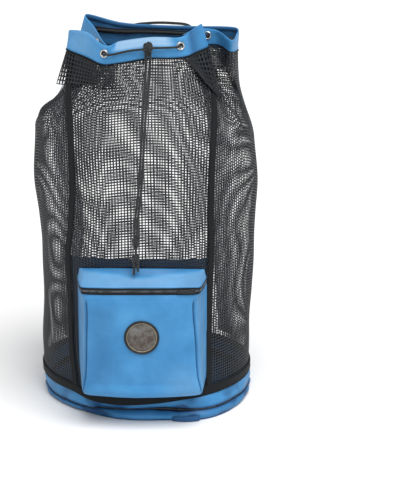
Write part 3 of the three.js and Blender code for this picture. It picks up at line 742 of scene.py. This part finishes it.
def collarShade(u, v):
    # painted shade on the cloth turned in at the rim, which lies in the shade of the mouth, and along the
    # collar's foot; the lobes get the painted shade and highlight of their table, and the hem's painted
    # highlight is taken off
    angle = turnAngle(collarTurn(u))
    shade = collar["rimShade"] * smooth((v - 0.84) / 0.06)
    shade += collar["footShade"] * smooth((0.12 - v) / 0.12)
    shade += sum(depth * hump(fromFront(angle - middle), 0, spread) for middle, spread, depth in lobeShades)
    return min(shade, collar["darkest"]) - paleHemHighlight(angle, v)


def collarEdge(u, v):
    return collarPlace(collarTurn(u), mix(*collar["edgeRows"], v), collar["edgeOut"])


def collarSide(turn, up):
    return (collarPlace(turn, up, 1) - collarPlace(turn, up, 0)).normalized()


anchorTape = {"half": 0.11, "out": -2.3, "wall": 1.3, "flat": (0.2, 0.009)}
anchorRows = table("angle up", (150, 0.66), (180, 0.69), (215, 0.65), (232, 0.54))


def anchorUp(angle):
    return along(anchorRows, "angle", "up", angle)


def anchorPoint(u, v):
    # the tape inside the collar's back, which the drawcord follows
    angle = mix(anchorRows[0]["angle"], anchorRows[-1]["angle"], u)
    return collarPlace(foldAt(angle), anchorUp(angle) + anchorTape["half"] * (2 * v - 1), anchorTape["out"])


def turned(profile, place, steps=28):
    # a closed outline of (radius, height) in millimetres, spun about its height and set at a place
    bm = bmesh.new()
    corners = [bm.verts.new((r * mm, 0, h * mm)) for r, h in profile]
    edges = [bm.edges.new(pair) for pair in zip(corners, corners[1:] + corners[:1])]
    bmesh.ops.spin(bm, geom=corners + edges, axis=(0, 0, 1), angle=2 * math.pi, steps=steps, use_merge=True)
    bmesh.ops.remove_doubles(bm, verts=bm.verts, dist=0.01 * mm)
    bmesh.ops.recalc_face_normals(bm, faces=bm.faces)
    bmesh.ops.transform(bm, matrix=place, verts=bm.verts)
    return bm


def standingOn(point, side):
    return Matrix.Translation(point * mm) @ side.to_track_quat("Z", "Y").to_matrix().to_4x4()


def buildCollar():
    columns = collar["columns"]
    eyeletUp = collar["eyeletUp"]
    flat = (collarLength * mm, collar["tall"] * mm)
    bm = sheetMesh(columns, collar["rows"], collarSheet, flat, ring=True, shadeAt=collarShade)
    seats = {name: foldAt(angle) for name, angle in eyeletPlaces.items()}
    holes = []
    for turn in seats.values():
        middle = collarPoint(turn, eyeletUp) * mm
        holes += [f for f in bm.faces if (f.calc_center_median() - middle).length < collar["hole"] * mm]
    bmesh.ops.delete(bm, geom=holes, context="FACES")
    # the inner shell is drawn in the shaded nylon: painted shade
    cloth = addPiece(bm, "collar_cloth", [blueNylon, shadedNylon], ["collar"], wall=collar["wall"],
                      evenWall=False)
    for name, turn in seats.items():
        ring = turned(eyeletPlate, standingOn(collarPoint(turn, eyeletUp), collarSide(turn, eyeletUp)))
        addPiece(ring, "eyelet_" + name + "_ring", [eyeletMetal], ["eyelet_" + name])
    seamEdge = sheetMesh(columns, 2, collarEdge, (collarLength * mm, 0.0025), ring=True)
    edge = addPiece(seamEdge, "collar_seam_edge", [blackTape], wall=0.9)
    sewing = bmesh.new()
    steps = collar["stitchSteps"]
    for up in collar["stitchRows"]:
        turns = [collarTurn(i / steps) for i in range(steps + 1)]
        places = [collarPlace(turn, up, collar["stitchOut"]) + frontLean(turn, up) for turn in turns]
        sides = [collarSide(collarTurn((i + 0.5) / steps), up) for i in range(steps)]
        stitchRow(sewing, places, sides)
    stitches = addPiece(sewing, "collar_stitches", [threadBlue])
    anchor = sheetMesh(60, 4, anchorPoint, anchorTape["flat"])
    addPiece(anchor, "anchor_tape", [blackTape], ["collar_anchor_tape"], wall=anchorTape["wall"])


buildCollar()
print("collar, eyelets and seam built")


# The haul loop: a webbing strip that arches behind the collar

haulLoop = {"path": ((-40, 668), (-38, 688), (-24, 700), (10, 705), (50, 705), (84, 700), (96, 686),
                     (98, 666)), "near": 68.5, "width": 22, "thick": 1.5, "length": 200, "sag": 0.8}
haulPath = splineThrough([Vector((x, haulLoop["near"], z)) for x, z in haulLoop["path"]])


def haulPoint(u, v):
    sag = haulLoop["sag"] * arch(u) * arch(v)
    return haulPath(v * (len(haulLoop["path"]) - 1)) + Vector((0, haulLoop["width"] * u, -sag))


def buildHaulLoop():
    bm = sheetMesh(8, 70, haulPoint, (haulLoop["width"] * mm, haulLoop["length"] * mm))
    addPiece(bm, "haul_loop_webbing", [blackTape], ["haul_loop"], wall=haulLoop["thick"])


buildHaulLoop()
print("haul loop built")


# The drawcord through the eyelets, the front knot, and the two tails that hang from it

cord = {"radius": 2, "clear": 4.5, "lift": 6, "inside": 1.8, "knot": (12, -112, 691), "knotRadius": 2.4,
        "knotHalves": (7, 13, 4), "leadOut": (-8, 0.58), "leadIn": (14, 0.59)}
# the angle of each eyelet on the cord's way round, and how far the cord runs straight before and after it
threaded = ((338, 12, 12), (303, 12, 0), (276, 0, 12), (75, 12, 0), (56, 0, 12), (23, 12, 12))
backRun = {"after": 276, "angles": (262, 250, 241, 232, 215, 195, 175, 155, 135, 122, 113),
           "tape": (145, 235), "up": 0.5}
# height, sideways place and clearance from the net of the two tails on their way down
tailHang = ((688, 12, 2.4), (676, 12, 2.4), (655, 11.5, 2.4), (630, 10, 2.4), (600, 7.5, 2.4), (560, 5, 2.4),
            (520, 3, 1.2), (470, 0, 0), (430, -4, 1), (400, -8, 4.5), (377, -9.4, 8), (368, -9.6, 8.5))
tails = {"radius": 2.3, "offNet": 1.7, "spread": (2.5, 4), "spreadFrom": 560, "spreadTall": 100,
         "netMiddle": 2, "netRadius": 205, "netTop": 655}
tailKnot = {"radius": 2.2, "upper": ((-9.5, -219, 358), 4.6, 12, 3),
            "lower": ((-10, -219.5, 326), 5.2, 13, 3.2),
            "ends": (((-12, -220, 330), (-13, -222, 312), (-13.5, -223, 299)),
                     ((-8, -220, 330), (-6.5, -222, 314), (-6, -223, 305)),
                     ((-9.5, -219, 372), (-9.7, -219.3, 342), (-10, -219.5, 314)))}


def sampled(points, perSpan=5):
    path = splineThrough([Vector(p) for p in points])
    return [path(i / perSpan) for i in range((len(points) - 1) * perSpan + 1)]


def knotLoops(centre, wide, tall, deep, steps=60):
    # a cord tied over itself: a trefoil loop, and two turns drawn tight round its waist
    centre = Vector(centre)
    loop = []
    waist = []
    for i in range(steps + 1):
        t = 2 * math.pi * i / steps
        x = (math.sin(t) + 2 * math.sin(2 * t)) / 3
        z = (math.cos(t) - 2 * math.cos(2 * t)) / 3
        loop.append(centre + Vector((wide * x, -deep * math.sin(3 * t), tall * z)))
        climb = (i / steps - 0.5) * 0.75 * tall + 0.2 * tall * math.sin(2 * t)
        waist.append(centre + Vector((wide * math.sin(2 * t), -(deep + 1.6) * math.cos(2 * t), climb)))
    core = [centre + Vector((0.2 * wide * math.sin(3 * s), 0, 0.95 * tall * s))
            for s in (-1, -0.5, 0, 0.5, 1)]
    return [loop, waist, core]


def cordRoute():
    # from the knot through the eyelets, out at one and in at the next, and along the tape inside the back
    knot = Vector(cord["knot"])
    clear, lift, eyeletUp = cord["clear"], cord["lift"], collar["eyeletUp"]
    leadOut, leadIn = (collarPlace(foldAt(angle), up, clear)
                       for angle, up in (cord["leadOut"], cord["leadIn"]))
    held = [knot + Vector((-3, 0, -1)), leadOut]
    side = 1
    for angle, lead, follow in threaded:
        turn = foldAt(angle)
        middle = collarPoint(turn, eyeletUp)
        normal = collarSide(turn, eyeletUp) * side
        following, leading = (collarPoint(foldAt(angle + step), eyeletUp) for step in (-1, 1))
        onward = (following - leading).normalized()
        steps = ((-lead, clear), (-5, lift), (-0.6, 2), (0.6, -2), (5, -lift), (follow, -clear))
        held += [middle + onward * ahead + normal * out for ahead, out in steps if ahead]
        side = -side
        if angle == backRun["after"]:
            for at in backRun["angles"]:
                up = anchorUp(at) if backRun["tape"][0] <= at <= backRun["tape"][1] else backRun["up"]
                held.append(collarPlace(foldAt(at), up, -clear - cord["inside"]))
    return held + [leadIn, knot + Vector((3, 0, 1))]


def tailLine(aside):
    line = []
    for z, x, stand in tailHang:
        spread = mix(*tails["spread"], smooth((z - tails["spreadFrom"]) / tails["spreadTall"])) * aside
        angle = math.degrees(math.asin((x - tails["netMiddle"]) / tails["netRadius"]))
        behind = netPlace(angle, min(z, tails["netTop"]))
        line.append(Vector((x + spread, behind.y - tails["offNet"] - tails["radius"] - stand, z)))
    line[0].y = cord["knot"][1]
    line[1].y = cord["knot"][1] - 1
    return sampled(line)


def buildCords():
    addCord("drawcord_braid", [sampled(cordRoute())], cord["radius"], blackCord, replaced=["drawcord"])
    addCord("front_knot", knotLoops(cord["knot"], *cord["knotHalves"]), cord["knotRadius"], blackCord,
            replaced=["drawcord_knot"])
    knots = knotLoops(*tailKnot["upper"]) + knotLoops(*tailKnot["lower"])
    knots += [sampled(line) for line in tailKnot["ends"]]
    ends = [addCord("tail_knot_loops", knots, tailKnot["radius"], blackCord, replaced=["tail_knot"])]
    for name, aside in (("left", -1), ("right", 1)):
        places = tailLine(aside)
        tail = addCord("cord_tail_" + name + "_braid", [places], tails["radius"], blackCord,
                       replaced=["cord_tail_" + name])


buildCords()


# The base: floor, two nylon walls with the ring zip between them, and the binding over the net's foot

baseCloth = {"columns": 480, "rows": 14, "wall": 1.3, "radius": 196, "tuck": 9, "tuckSpan": (-31, 4, 26, 18),
             "gapeSpan": (2, 9, 30, 14), "puffSpan": (-24, 10, 18, 5), "shadeSpan": (-33, 6, 18, 16),
             "groove": 2.2, "darkest": 0.85, "footIn": -5}
wallFolds = {"lower": {"size": 30, "seed": 11, "deep": 2.6}, "upper": {"size": 34, "seed": 21, "deep": 3.6}}
baseFloor = {"sides": 96, "z": 1, "out": -5.3, "wall": 2}
baseZip = {"half": 5, "behind": 2, "coilBehind": 1, "teeth": 560, "tooth": (0.8, 2.1, 1)}
binding = {"below": 5, "above": 12, "out": 2.3, "crown": 0.7, "wall": 1.3, "stitchRows": (-3, 9.5),
           "stitchOut": 3.4, "stitchSteps": 500}
grabLoop = {"angles": (15, 28), "heights": (1.6, 11), "out": (0, 3.5), "arch": 4, "wall": 1.4, "shade": 0.35}


def footFlare(angle, z):
    # how far the wall's foot stands out where the bag leans on it
    return along(baseRows, "angle", "flare", angle % 360) * max(1 - z / bandTop(angle), 0)


def basePoint(angle, z, out):
    a = math.radians(angle)
    section = bodySections[0]
    out += footFlare(angle, z)
    return Vector((section["centreX"] + (section["halfWidth"] + out) * math.sin(a),
                   -(section["halfDepth"] + out) * math.cos(a), z))


def pucker(angle, height, size, seed):
    # small sideways folds of a wall that sags under the bag
    a = math.radians(angle)
    reach = 200 / size
    return noise.noise(Vector((math.sin(a) * reach, math.cos(a) * reach, height + seed)))


def wallPucker(wall, angle, v):
    return pucker(angle, v, wallFolds[wall]["size"], wallFolds[wall]["seed"])


def zipLine(angle):
    return bandTop(angle) * along(baseRows, "angle", "zipShare", angle % 360) + 1.2 * pucker(angle, 0, 60, 3)


def zipDepth(angle):
    # the zip is tucked in under the front, with a sharp fold at the left end of the tuck
    tucked = between(fromFront(angle), *baseCloth["tuckSpan"])
    return 1.5 + baseCloth["tuck"] * tucked + pucker(angle, 0, 70, 31)


def zipGap(angle):
    # half the slit that the zip shows through, which gapes at the front right
    return 1.6 + 2 * between(fromFront(angle), *baseCloth["gapeSpan"])


def lowerWall(u, v):
    angle = 360 * u
    puff = between(fromFront(angle), *baseCloth["puffSpan"])
    roll = 4.5 + 4 * puff + wallFolds["lower"]["deep"] * wallPucker("lower", angle, v)
    out = mix(baseCloth["footIn"], -zipDepth(angle), v) + roll * arch(v)
    rise = 0.8 * (1 - v) * (1 + pucker(angle, 0, 45, 5))
    return basePoint(angle, mix(1.2, zipLine(angle) - zipGap(angle), v) + rise, out)


def upperWall(u, v):
    angle = 360 * u
    roll = 1.5 + wallFolds["upper"]["deep"] * wallPucker("upper", angle, v)
    out = mix(-zipDepth(angle), 0, v ** 0.7) + roll * arch(v)
    return basePoint(angle, mix(zipLine(angle) + zipGap(angle), bandTop(angle), v), out)


def lowerShade(u, v):
    # painted shade for how deep each place lies in the folds: under the zip, against the floor and between
    # the puckers, less of it on the puffed front
    plain = 1 - 0.8 * between(fromFront(360 * u), *baseCloth["puffSpan"])
    groove = smooth(-baseCloth["groove"] * wallPucker("lower", 360 * u, v))
    edges = (0.5 * smooth((v - 0.76) / 0.24) + 0.4 * smooth((0.2 - v) / 0.2)) * (0.4 + 0.6 * plain)
    return min(edges + (0.35 + 0.5 * groove) * plain, baseCloth["darkest"])


def upperShade(u, v):
    # the same painted shade above the zip, with a painted shadow under the pocket and more painted shade from
    # the front right round the side
    front = fromFront(360 * u)
    groove = smooth(-baseCloth["groove"] * wallPucker("upper", 360 * u, v))
    shade = 0.3 * between(front, *baseCloth["shadeSpan"]) + 0.14 * smooth((front - 16) / 10)
    return min(shade + 0.5 * smooth((0.25 - v) / 0.25) + 0.5 * groove, baseCloth["darkest"])


def baseZipPoint(u, v):
    angle = 360 * u
    height = zipLine(angle) + baseZip["half"] * (2 * v - 1)
    return basePoint(angle, height, -zipDepth(angle) - baseZip["behind"])


def bindingPoint(angle, rise, out):
    return roundPoint(angle, bandTop(angle) + rise, out + max(footFlare(angle, bandTop(angle) + rise), 0))


def bindingSheet(u, v):
    out = binding["out"] + binding["crown"] * arch(v)
    return bindingPoint(360 * u, mix(-binding["below"], binding["above"], v), out)


def grabPoint(u, v):
    out = mix(*grabLoop["out"], v) + grabLoop["arch"] * arch(u) ** 0.6
    return basePoint(mix(*grabLoop["angles"], u), mix(*grabLoop["heights"], v), out)


def buildBase():
    around = 2 * math.pi * baseCloth["radius"] * mm
    columns = baseCloth["columns"]
    floor = bmesh.new()
    bmesh.ops.create_circle(floor, cap_ends=True, segments=baseFloor["sides"], radius=1)
    for vert in floor.verts:
        angle = math.degrees(math.atan2(vert.co.x, -vert.co.y))
        vert.co = basePoint(angle, baseFloor["z"], baseFloor["out"]) * mm
    addPiece(floor, "base_floor_cloth", [shadedNylon], ["base_floor"], wall=baseFloor["wall"])
    for name, wall, shade in (("lower", lowerWall, lowerShade), ("upper", upperWall, upperShade)):
        bm = sheetMesh(columns, baseCloth["rows"], wall, (around, 0.02), ring=True, shadeAt=shade)
        addPiece(bm, "base_wall_" + name + "_cloth", [blueNylon, shadedNylon], ["base_wall_" + name],
                 wall=baseCloth["wall"])
    tape = sheetMesh(240, 4, baseZipPoint, (around, 0.01), ring=True)
    addPiece(tape, "base_zip_tape", [zipTape], ["base_zip"], wall=1)
    coil = bmesh.new()
    for i in range(baseZip["teeth"]):
        angle = 360 * i / baseZip["teeth"]
        ahead = Vector((math.cos(math.radians(angle)), math.sin(math.radians(angle)), 0))
        place = basePoint(angle, zipLine(angle), -zipDepth(angle) - baseZip["coilBehind"])
        addBead(coil, place, ahead, Vector((0, 0, 1)), baseZip["tooth"])
    addPiece(coil, "base_zip_coil", [zipCoilSheen])
    band = sheetMesh(columns, 6, bindingSheet, (around, 0.017), ring=True)
    addPiece(band, "base_binding_tape", [blackTape], ["base_binding"], wall=binding["wall"])
    sewing = bmesh.new()
    steps = binding["stitchSteps"]
    for rise in binding["stitchRows"]:
        places = [bindingPoint(360 * i / steps, rise, binding["stitchOut"]) for i in range(steps + 1)]
        angles = [360 * (i + 0.5) / steps for i in range(steps)]
        stitchRow(sewing, places, [basePoint(angle, 0, 1) - basePoint(angle, 0, 0) for angle in angles])
    addPiece(sewing, "base_stitches", [threadBlack])
    # the loop is drawn in the shaded nylon with a painted shade over it
    loop = sheetMesh(36, 6, grabPoint, (0.05, 0.011), shadeAt=lambda u, v: grabLoop["shade"])
    addPiece(loop, "grab_loop_cloth", [shadedNylon], ["base_grab_loop"], wall=grabLoop["wall"])


buildBase()
print("base built")


# The tapes over the two front seams

tapeCloth = {"width": 12, "thick": 1.3, "out": 2.3, "crown": 0.3, "radius": 199, "footGap": 0.45,
             "length": 660, "stitchLines": (0.14, 0.86), "stitchOut": 0.8, "stitchSteps": 200,
             "stepTall": 3.2}


def tapePoint(side, u, v):
    angle = seams[side] + math.degrees(tapeCloth["width"] / 2 / tapeCloth["radius"]) * (2 * u - 1)
    low = bandTop(angle) + binding["above"] + tapeCloth["footGap"]
    out = tapeCloth["out"] + tapeCloth["crown"] * arch(u)
    return netPlace(angle, mix(low, netTop(angle), v), out)


def buildTapes():
    sewing = bmesh.new()
    steps = tapeCloth["stitchSteps"]
    for side in ("left", "right"):
        bm = sheetMesh(6, 150, partial(tapePoint, side), (tapeCloth["width"] * mm, tapeCloth["length"] * mm))
        addPiece(bm, "front_tape_" + side + "_webbing", [blackTape], ["front_tape_" + side],
                 wall=tapeCloth["thick"])
        for line in tapeCloth["stitchLines"]:
            places = []
            for i in range(steps + 1):
                place = tapePoint(side, line, i / steps)
                # from the bag's middle line, about level with the place
                away = place - Vector((0, 0, i * tapeCloth["stepTall"]))
                places.append(place + away.normalized() * tapeCloth["stitchOut"])
            stitchRow(sewing, places, [Vector((p.x, p.y, 0)).normalized() for p in places])
    addPiece(sewing, "tape_stitches", [threadBlack])


buildTapes()
print("seam tapes built")


# The front pocket: a gusseted pouch under a zip, with a sloping top, piping and a moulded patch

pocketRows = table(
    "z front left right leftRoot rightRoot",
    (62, -205, -100, 102, -108, 107), (67, -222, -106, 107, -113, 112), (80, -234, -109, 108, -117, 116),
    (110, -238, -104, 102, -119, 117), (180, -239, -101, 98, -119, 117), (250, -239, -100, 94, -119, 117),
    (269, -236, -107, 103, -119, 117), (282, -231, -108, 105, -119, 116), (293, -219, -110, 108, -118, 115),
    (305, -206, -112, 110, -116, 114))
pocket = {"wall": 1.2, "columns": 200, "wide": 0.29, "offNet": 2.45, "bulge": 3, "footBulge": 15,
          "footRise": 30, "foot": 60.4, "footShare": 1 / 84, "shut": 0.06, "shutTall": 1.6, "face": 0.78,
          "crease": 7, "creaseWide": 0.009, "creaseRows": (70, 20, 258, 12), "crowdHalf": 0.12,
          "crowdPace": 0.12, "lineShade": 0.85, "lineRows": (68, 14, 254, 8), "leftShade": 0.32,
          "leftShadeRows": (72, 40, 262, 40), "rightHighlight": 0.16, "topDrop": 10, "topFold": 2.6,
          "topShades": (-0.27, 0.3)}
pocketZip = {"low": 265.5, "high": 278.5, "tapeRows": (265.8, 278.2), "wall": 1.2, "teeth": 150,
             "tooth": (0.85, 2.6, 1.1), "out": 1.1, "end": 0.98, "edgeOut": 0.7, "pipingRadius": 1.1}


def netFront(x, z):
    halfWidth = along(bodySections, "z", "halfWidth", z)
    turn = math.asin((x - along(bodySections, "z", "centreX", z)) / halfWidth)
    return -along(bodySections, "z", "halfDepth", z) * math.cos(turn)


def pocketPoint(across, z):
    # across runs from -1 at the left root over the face to 1 at the right root
    hand = "left" if across < 0 else "right"
    front, edge, root = (along(pocketRows, "z", name, z) for name in ("front", hand, hand + "Root"))
    face = pocket["face"]
    side = min(abs(across) / face, 1)
    gusset = max(abs(across) - face, 0) / (1 - face)
    x = side * mix(edge, root, gusset ** 0.7)
    back = netFront(x, z) - pocket["offNet"]
    nearFoot = max(1 - (z - pocketRows[0]["z"]) / pocket["footRise"], 0)
    bulge = pocket["bulge"] + pocket["footBulge"] * nearFoot
    front = min(front - bulge * (1 - side * side), back)
    forward = 0.97 * (1 - gusset) + 0.03 * (1 - smooth((side - 0.9) / 0.1))
    forward *= mix(pocket["shut"], 1, min((z - pocket["foot"]) / pocket["shutTall"], 1))
    crease = pocket["crease"] * hump(abs(across), face, pocket["creaseWide"])
    crease *= between(z, *pocket["creaseRows"])
    soft = 1.5 * noise.noise(Vector((x / 62, 4.2, z / 80))) + 0.6 * noise.noise(Vector((x / 24, 9.1, z / 31)))
    soft *= smooth((1 - abs(across)) / 0.15)
    return Vector((x - math.copysign(crease * 0.7, x), mix(back, front, forward) + crease * 0.8 - soft, z))


def acrossAt(u):
    # columns crowd together at the two creases
    place = 2 * u - 1
    half = pocket["crowdHalf"]
    pace = pocket["crowdPace"]
    for crease in (-pocket["face"], pocket["face"]):
        if abs(place - crease) < half:
            near = (place - crease) / half
            return crease + half * (pace * near + (1 - pace) * near ** 3)
    return place


def bodyHeight(v):
    low = pocketRows[0]["z"]
    footShare = pocket["footShare"]
    foot = mix(pocket["foot"], low, min(v / footShare, 1))
    return foot + max(v - footShare, 0) / (1 - footShare) * (pocketZip["low"] - low)


def pocketBody(u, v):
    return pocketPoint(acrossAt(u), bodyHeight(v))


def bodyShade(u, v):
    # painted shade along the two creases and over the left of the face, and a painted highlight at its lower
    # right
    z = bodyHeight(v)
    across = acrossAt(u)
    line = hump(abs(across), pocket["face"], 1.1 * pocket["creaseWide"])
    line *= pocket["lineShade"] * between(z, *pocket["lineRows"])
    slack = pocket["leftShade"] * hump(across, -0.58, 0.22) * between(z, *pocket["leftShadeRows"])
    rightLight = pocket["rightHighlight"] * hump(across, 0.58, 0.25) * smooth((150 - z) / 60)
    return line + slack - rightLight


def pocketTop(u, v):
    # the sloping top, from the zip back to the net, with a soft fold under the cord's knot
    start = pocketPoint(2 * u - 1, pocketZip["high"])
    share = start.x / pocketRows[-1]["right"]
    x = mix(start.x, start.x * 0.97, v)
    z = mix(pocketZip["high"], pocketRows[-1]["z"] - pocket["topDrop"] * share * share, v)
    fold = pocket["topFold"] * hump(v, 0.72 - 0.3 * abs(share), 0.16) * smooth(1.1 - abs(share))
    y = mix(start.y, netFront(x, z) - pocket["offNet"], v)
    return Vector((x, y + fold * arch(v), z))


def topShade(u, v):
    # painted shade in the middle of the top, where it sags under the cord's knot, and a painted highlight on
    # the cloth round it, pulled flat
    slack = smooth((v - 0.35 - 0.5 * abs(2 * u - 1)) / 0.3)
    return mix(*pocket["topShades"], slack)


def zipTapePoint(u, v):
    return pocketPoint(acrossAt(u), mix(*pocketZip["tapeRows"], v))


def pocketOut(across, z, out):
    step = 0.01
    aside = pocketPoint(min(across + step, 1), z) - pocketPoint(max(across - step, -1), z)
    up = pocketPoint(across, z + 1) - pocketPoint(across, z - 1)
    return pocketPoint(across, z) + aside.cross(up).normalized() * out


def buildPocket():
    for part, rows, tall, pointAt, shade in (("body", 64, 0.22, pocketBody, bodyShade),
                                             ("top", 20, 0.035, pocketTop, topShade)):
        bm = sheetMesh(pocket["columns"], rows, pointAt, (pocket["wide"], tall), shadeAt=shade)
        name = "pocket_" + part
        addPiece(bm, name + "_cloth", [blueNylon], [name], wall=pocket["wall"])


def buildPocketZip():
    tape = sheetMesh(pocket["columns"], 6, zipTapePoint, (pocket["wide"], 0.0125))
    addPiece(tape, "pocket_zip_tape", [zipTape], ["pocket_zip"], wall=pocketZip["wall"])
    coil = bmesh.new()
    middle = (pocketZip["low"] + pocketZip["high"]) / 2
    step = 0.01
    for i in range(pocketZip["teeth"]):
        across = mix(-pocketZip["end"], pocketZip["end"], i / (pocketZip["teeth"] - 1))
        before, here, after = (pocketOut(across + shift, middle, pocketZip["out"])
                               for shift in (-step, 0, step))
        up = (pocketPoint(across, middle + 1) - pocketPoint(across, middle - 1)).normalized()
        addBead(coil, here, (after - before).normalized(), up, pocketZip["tooth"])
    addPiece(coil, "pocket_zip_coil", [zipCoilSheen])
    edges = (("lower", pocketZip["low"] - 0.4, 0.6), ("upper", pocketZip["high"] - 0.2, 0.9))
    for name, height, radius in edges:
        edge = [pocketOut(mix(-1, 1, i / 90), height, pocketZip["edgeOut"]) for i in range(91)]
        addCord("zip_edge_" + name, [edge], radius, blueNylon)


pocketSewing = {"steps": 200, "end": 0.99, "below": 5, "out": 0.8, "topEnd": 0.98, "topRow": 0.14}


def buildPocketSewing():
    low = pocketRows[0]["z"]
    rim = [pocketPoint(-1, mix(pocketZip["low"], low, i / 30)) for i in range(31)]
    rim += [pocketPoint(mix(-1, 1, i / 60), low) for i in range(1, 60)]
    rim += [pocketPoint(1, mix(low, pocketZip["low"], i / 30)) for i in range(31)]
    addCord("pocket_piping", [rim], pocketZip["pipingRadius"], blueNylon)
    sewing = bmesh.new()
    steps = pocketSewing["steps"]
    height = pocketZip["low"] - pocketSewing["below"]
    acrosses = [mix(-pocketSewing["end"], pocketSewing["end"], i / steps) for i in range(steps + 1)]
    places = [pocketOut(across, height, pocketSewing["out"]) for across in acrosses]
    sides = [pocketOut(across, height, pocketSewing["out"] + 1) - place
             for across, place in zip(acrosses, places)]
    stitchRow(sewing, places, sides)
    shares = [mix(1 - pocketSewing["topEnd"], pocketSewing["topEnd"], i / steps) for i in range(steps + 1)]
    places = [pocketTop(share, pocketSewing["topRow"]) + Vector((0, -0.6, 0.5)) for share in shares]
    stitchRow(sewing, places, [Vector((0, -0.7, 0.7))] * steps)
    addPiece(sewing, "pocket_stitches", [threadBlue])


backing = {"foot": 52, "top": 321, "fromSeam": 1.4, "wall": 1.2, "flat": (0.277, 0.266)}


def backingPoint(u, v):
    angle = mix(seams["left"] + backing["fromSeam"], seams["right"] - backing["fromSeam"], u)
    high = backing["top"] - pocket["topDrop"] * (2 * u - 1) ** 2
    return netPlace(angle, mix(backing["foot"], high, v), -pocket["offNet"])


def buildBacking():
    bm = sheetMesh(60, 60, backingPoint, backing["flat"])
    # in the navy nylon: painted shade
    piece = addPiece(bm, "pocket_backing_cloth", [navyShadeNylon], ["pocket_backing"],
                     wall=backing["wall"])


# outlines of the patch as distances in from its edge, and heights
patch = {"x": 0, "z": 186, "back": -243.15, "radius": 32, "steps": 96, "outlines": table(
    "name material replaced outline",
    ("rim", patchRim, ["pocket_badge"], ((5, 0), (0.6, 0), (0, 0.7), (0, 2.1), (0.7, 2.8), (1.7, 3),
                                         (2.7, 2.8), (3.4, 2.1), (4.2, 1.7), (5, 1.7))),
    ("line", patchLine, [], ((5, 0), (4.1, 1.6), (4.3, 2.2), (4.9, 2.5), (5.5, 2.2), (5.8, 1.6), (5.8, 0))),
    ("face", patchFace, [], ((32, 0), (5.9, 0), (5.9, 1.2), (7.5, 1.5), (9, 2.2), (13, 2.5), (17, 2.2),
                             (18.5, 1.6), (20, 2.2), (24, 2.8), (32, 3))))}


def buildPatch():
    seat = standingOn(Vector((patch["x"], patch["back"], patch["z"])), Vector((0, -1, 0)))
    for row in patch["outlines"]:
        profile = [(patch["radius"] - inset, height) for inset, height in row["outline"]]
        addPiece(turned(profile, seat, patch["steps"]), "patch_" + row["name"], [row["material"]],
                 row["replaced"])


zipPull = {"x": 92, "z": 272, "halfFace": 103, "boxes": table(
    "aside out size edge",
    (0, 3, (11, 5, 9), 1.2), (-1, 5.6, (7, 2.4, 3), 0.9), (-15, 6.2, (26, 2.4, 6.2), 1))}


def buildPull():
    bm = bmesh.new()
    face = pocketOut(zipPull["x"] / zipPull["halfFace"] * pocket["face"], zipPull["z"], 0).y
    for box in zipPull["boxes"]:
        made = bmesh.ops.create_cube(bm, size=mm)["verts"]
        middle = Vector((zipPull["x"] + box["aside"], face - box["out"], zipPull["z"]))
        bmesh.ops.scale(bm, vec=box["size"], verts=made)
        bmesh.ops.translate(bm, vec=middle * mm, verts=made)
        edges = list({edge for vert in made for edge in vert.link_edges})
        bmesh.ops.bevel(bm, geom=edges, offset=box["edge"] * mm, segments=3, profile=0.5, affect="EDGES",
                         material=-1)
    addPiece(bm, "zip_slider_and_pull", [sliderPaint], ["pocket_zip_pull"])


buildPocket()
buildPocketZip()
buildPocketSewing()
buildBacking()
buildPatch()
buildPull()
print("pocket, patch and zip built")


# Padded shoulder straps down the back

strap = {"topZ": 640, "footZ": 62, "width": 44, "thick": 7, "sewn": 3, "stand": 26, "offNet": 0.8,
         "right": (131, 143), "left": (-131, -126), "flatEnd": 0.035, "pressed": 0.45, "flat": (0.1, 0.62),
         "stitchRows": (0.012, 0.03, 0.97, 0.988), "stitchHalf": 18, "stitchOut": 0.1, "liningBelow": -0.35}


def strapFrame(side, v):
    # the middle of a strap at a share of its length, with the ways across it and away from the net
    angle = mix(*strap[side], v)
    z = mix(strap["footZ"], strap["topZ"], v)
    slack = arch(v)
    across = netPoint(angle - 3, z) - netPoint(angle + 3, z)
    across = Vector((across.x, across.y, 0)).normalized().lerp(Vector((1, 0, 0)), slack).normalized()
    away = Vector((-across.y, across.x, 0))
    stand = strap["offNet"] + strap["thick"] / 2 + strap["sewn"] + strap["stand"] * slack
    return netPoint(angle, z) + away * stand, across, away


def padHalf(v):
    # half the padding's thickness, pressed flat where the ends are sewn down
    return mix(strap["pressed"], 1, smooth(min(v, 1 - v) / strap["flatEnd"])) * strap["thick"] / 2


def strapPoint(side, u, v):
    middle, across, away = strapFrame(side, v)
    turn = 2 * math.pi * u
    flat = math.copysign(abs(math.cos(turn)) ** 0.5, math.cos(turn))
    crown = math.copysign(abs(math.sin(turn)) ** 0.8, math.sin(turn))
    return middle + across * (flat * strap["width"] / 2) + away * (crown * padHalf(v))


def buildStraps():
    for side in ("right", "left"):
        bm = sheetMesh(28, 90, partial(strapPoint, side), strap["flat"], ring=True)
        bmesh.ops.holes_fill(bm, edges=[e for e in bm.edges if e.is_boundary])
        bmesh.ops.recalc_face_normals(bm, faces=bm.faces)
        for face in bm.faces:
            face.material_index = 1 if face.normal.y < strap["liningBelow"] else 0
        pad = addPiece(bm, "strap_" + side + "_pad", [blueNylon, padLining],
                       ["shoulder_strap_" + side])
        sewing = bmesh.new()
        for v in strap["stitchRows"]:
            middle, across, away = strapFrame(side, v)
            lift = away * (padHalf(v) + strap["stitchOut"])
            half = strap["stitchHalf"]
            line = [middle + across * x + lift for x in range(-half, half + 1, 2)]
            stitchRow(sewing, line, [away] * (len(line) - 1))
        addPiece(sewing, "strap_" + side + "_stitches", [threadBlue])


buildStraps()
print("straps built")
